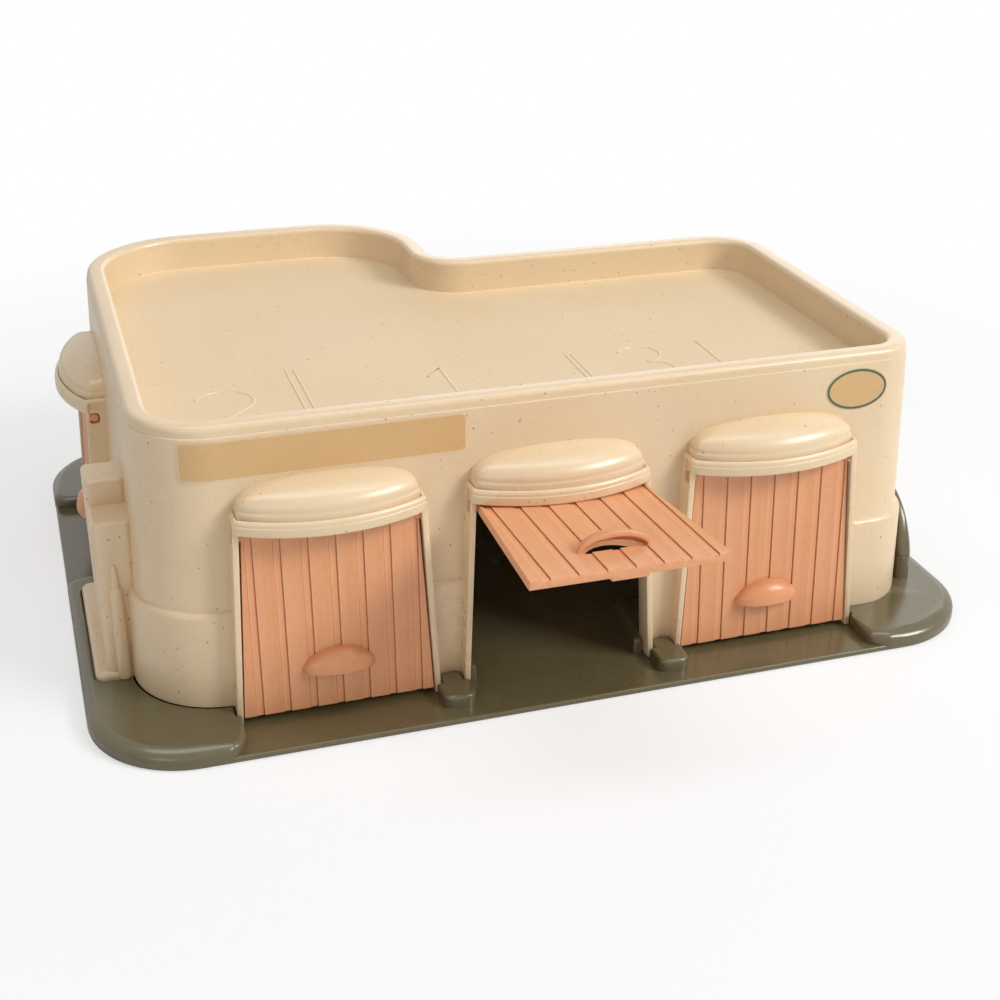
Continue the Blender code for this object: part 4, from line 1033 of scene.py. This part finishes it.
def bandAlong(outline, centre, centreZ, width):
    # a thin raised line that follows an outline on the wall
    near, far = filmPlan["bandFoot"], filmPlan["bandTop"]
    bm = bmesh.new()
    points = [Vector(p) for p in outline]
    rings = []
    for index, point in enumerate(points):
        ahead = (points[(index + 1) % len(points)] - points[index - 1]).normalized()
        inward = Vector((-ahead.y, ahead.x))
        ring = []
        for grow, lift in ((0, near), (0, far), (width, far), (width, near)):
            spot = point + inward * grow
            ring.append(wallSpot(centre + spot.x, centreZ + spot.y, lift))
        rings.append(ring)
    loft(bm, rings + [rings[0]], closeStart=False, closeEnd=False)
    return bm


def stripFilm():
    f = filmPlan
    left, right, half, corner = f["stripLeft"], f["stripRight"], f["stripHalf"], f["stripCorner"]
    ends = []
    for turn in quarterTurns(6):
        ends.append((left + corner * (1 - math.cos(turn)), half - corner * (1 - math.sin(turn))))
    middle = [(left + corner + (right - left - 2 * corner) * step / 60, half) for step in range(1, 60)]
    return filmFrom(ends + middle + [(left + right - along, high) for along, high in reversed(ends)], f["stripZ"])


def stripBorder():
    f = filmPlan
    halfX, halfZ = (f["stripRight"] - f["stripLeft"]) / 2, f["stripHalf"]
    corners = roundCorners(rectangle(-halfX, -halfZ, halfX, halfZ), [f["stripCorner"]] * 4, 6)
    line = []
    for first, second in zip(corners, corners[1:] + corners[:1]):
        cuts = max(1, round((second - first).length / 3))
        line += [first.lerp(second, cut / cuts) for cut in range(cuts)]
    return bandAlong(line, (f["stripLeft"] + f["stripRight"]) / 2, f["stripZ"], f["border"])


def ovalFilm():
    f = filmPlan
    turns = [math.pi * step / 40 for step in range(1, 40)]
    stations = [(f["ovalX"] - f["ovalHalfX"] * math.cos(turn), f["ovalHalfZ"] * math.sin(turn)) for turn in turns]
    return filmFrom(stations, f["ovalZ"])


def ovalRing():
    f = filmPlan
    halfX, halfZ = f["ovalHalfX"] - f["ringIn"], f["ovalHalfZ"] - f["ringIn"]
    turns = [math.tau * step / 96 for step in range(96)]
    line = [(halfX * math.cos(turn), halfZ * math.sin(turn)) for turn in turns]
    return bandAlong(line, f["ovalX"], f["ovalZ"], f["ring"])


for label, film, finish, node in (
        ("labelStrip", stripFilm(), peachFilm, "label_strip"),
        ("labelStripBorder", stripBorder(), filmEdge, "label_strip"),
        ("labelOval", ovalFilm(), peachFilm, "label_oval"), ("labelOvalRing", ovalRing(), greenInk, "label_oval")):
    toPiece(label, film, finish, "label_film", "garage", [node], 40)
print("films ready")


# Floor, light and camera.

studio = {
    "white": (0.95, 0.95, 0.945), "ambient": 0.24, "glow": 0.60, "nearGlow": 0.24, "farGlow": 0.62,
    "floorSize": 6.0, "floorDrop": 0.0003,
}

floorMesh = bmesh.new()
bmesh.ops.create_grid(floorMesh, x_segments=8, y_segments=8, size=studio["floorSize"] / 2)
floor = toObject("studioFloor", floorMesh, bpy.context.scene.collection)
floor.location.z = -studio["floorDrop"]

paper = bpy.data.materials.new("studioPaper")
paper.use_nodes = True
tree = paper.node_tree
link = tree.links.new
base = tree.nodes["Principled BSDF"]
base.inputs["Base Color"].default_value = (*studio["white"], 1)
base.inputs["Roughness"].default_value = 0.9
base.inputs["Specular IOR Level"].default_value = 0.0
glow = addNode(tree, "ShaderNodeEmission", Strength=1.0)
glow.inputs["Color"].default_value = (1, 1, 1, 1)
paths = addNode(tree, "ShaderNodeLightPath")
where = addNode(tree, "ShaderNodeTexCoord")
reach = addNode(tree, "ShaderNodeVectorMath", operation="LENGTH")
link(where.outputs["Object"], reach.inputs[0])
# plain white away from the toy
away = spread(tree, reach.outputs["Value"], studio["nearGlow"], studio["farGlow"], studio["glow"], 1, smooth=True)
blend = addNode(tree, "ShaderNodeMixShader")
link(mathStep(tree, "MULTIPLY", paths.outputs["Is Camera Ray"], away), blend.inputs["Fac"])
link(base.outputs["BSDF"], blend.inputs[1])
link(glow.outputs["Emission"], blend.inputs[2])
link(blend.outputs["Shader"], tree.nodes["Material Output"].inputs["Surface"])
floor.data.materials.append(paper)

world = bpy.data.worlds.new("studioRoom")
bpy.context.scene.world = world
world.use_nodes = True
tree = world.node_tree
room = tree.nodes["Background"]
room.inputs["Color"].default_value = (1, 1, 1, 1)
paths = addNode(tree, "ShaderNodeLightPath")
seen = mathStep(tree, "MAXIMUM", paths.outputs["Is Camera Ray"], paths.outputs["Is Glossy Ray"])
tree.links.new(spread(tree, seen, 0, 1, studio["ambient"], 1), room.inputs["Strength"])

lamps = {
    "keyLamp": {"place": (1.85, -1.5, 1.75), "size": (1.1, 0.9), "power": 53.5},
    "topLamp": {"place": (-0.02, -0.1, 1.3), "size": (1.5, 0.35), "power": 5.5},
    "fillLamp": {"place": (-1.1, -1.3, 0.7), "size": (0.7, 0.9), "power": 2.9},
    "backPanel": {"place": (0.85, 1.35, 0.62), "size": (1.6, 0.6), "power": 3.2},
}
for name, setting in lamps.items():
    lampData = bpy.data.lights.new(name, "AREA")
    lampData.shape = "RECTANGLE"
    lampData.size, lampData.size_y = setting["size"]
    lampData.energy = setting["power"]
    lamp = bpy.data.objects.new(name, lampData)
    lamp.location = setting["place"]
    aim = Vector((0, 0, 0.05)) - Vector(setting["place"])
    lamp.rotation_euler = aim.to_track_quat("-Z", "Y").to_euler()
    bpy.context.scene.collection.objects.link(lamp)

shot = {"place": (-0.19384, -0.65285, 0.35326), "turn": -17.69, "tilt": 25.94, "roll": 0.31, "lens": 56.96}
cameraData = bpy.data.cameras.new("photoCamera")
cameraData.sensor_width = 36.0
cameraData.lens = shot["lens"]
camera = bpy.data.objects.new("photoCamera", cameraData)
aim = Matrix.Rotation(math.radians(shot["turn"]), 4, "Z") @ Matrix.Rotation(math.radians(90 - shot["tilt"]), 4, "X")
camera.matrix_world = Matrix.Translation(shot["place"]) @ aim @ Matrix.Rotation(math.radians(shot["roll"]), 4, "Z")
bpy.context.scene.collection.objects.link(camera)
bpy.context.scene.camera = camera
bpy.context.scene.view_settings.view_transform = "Standard"
print("studio ready")
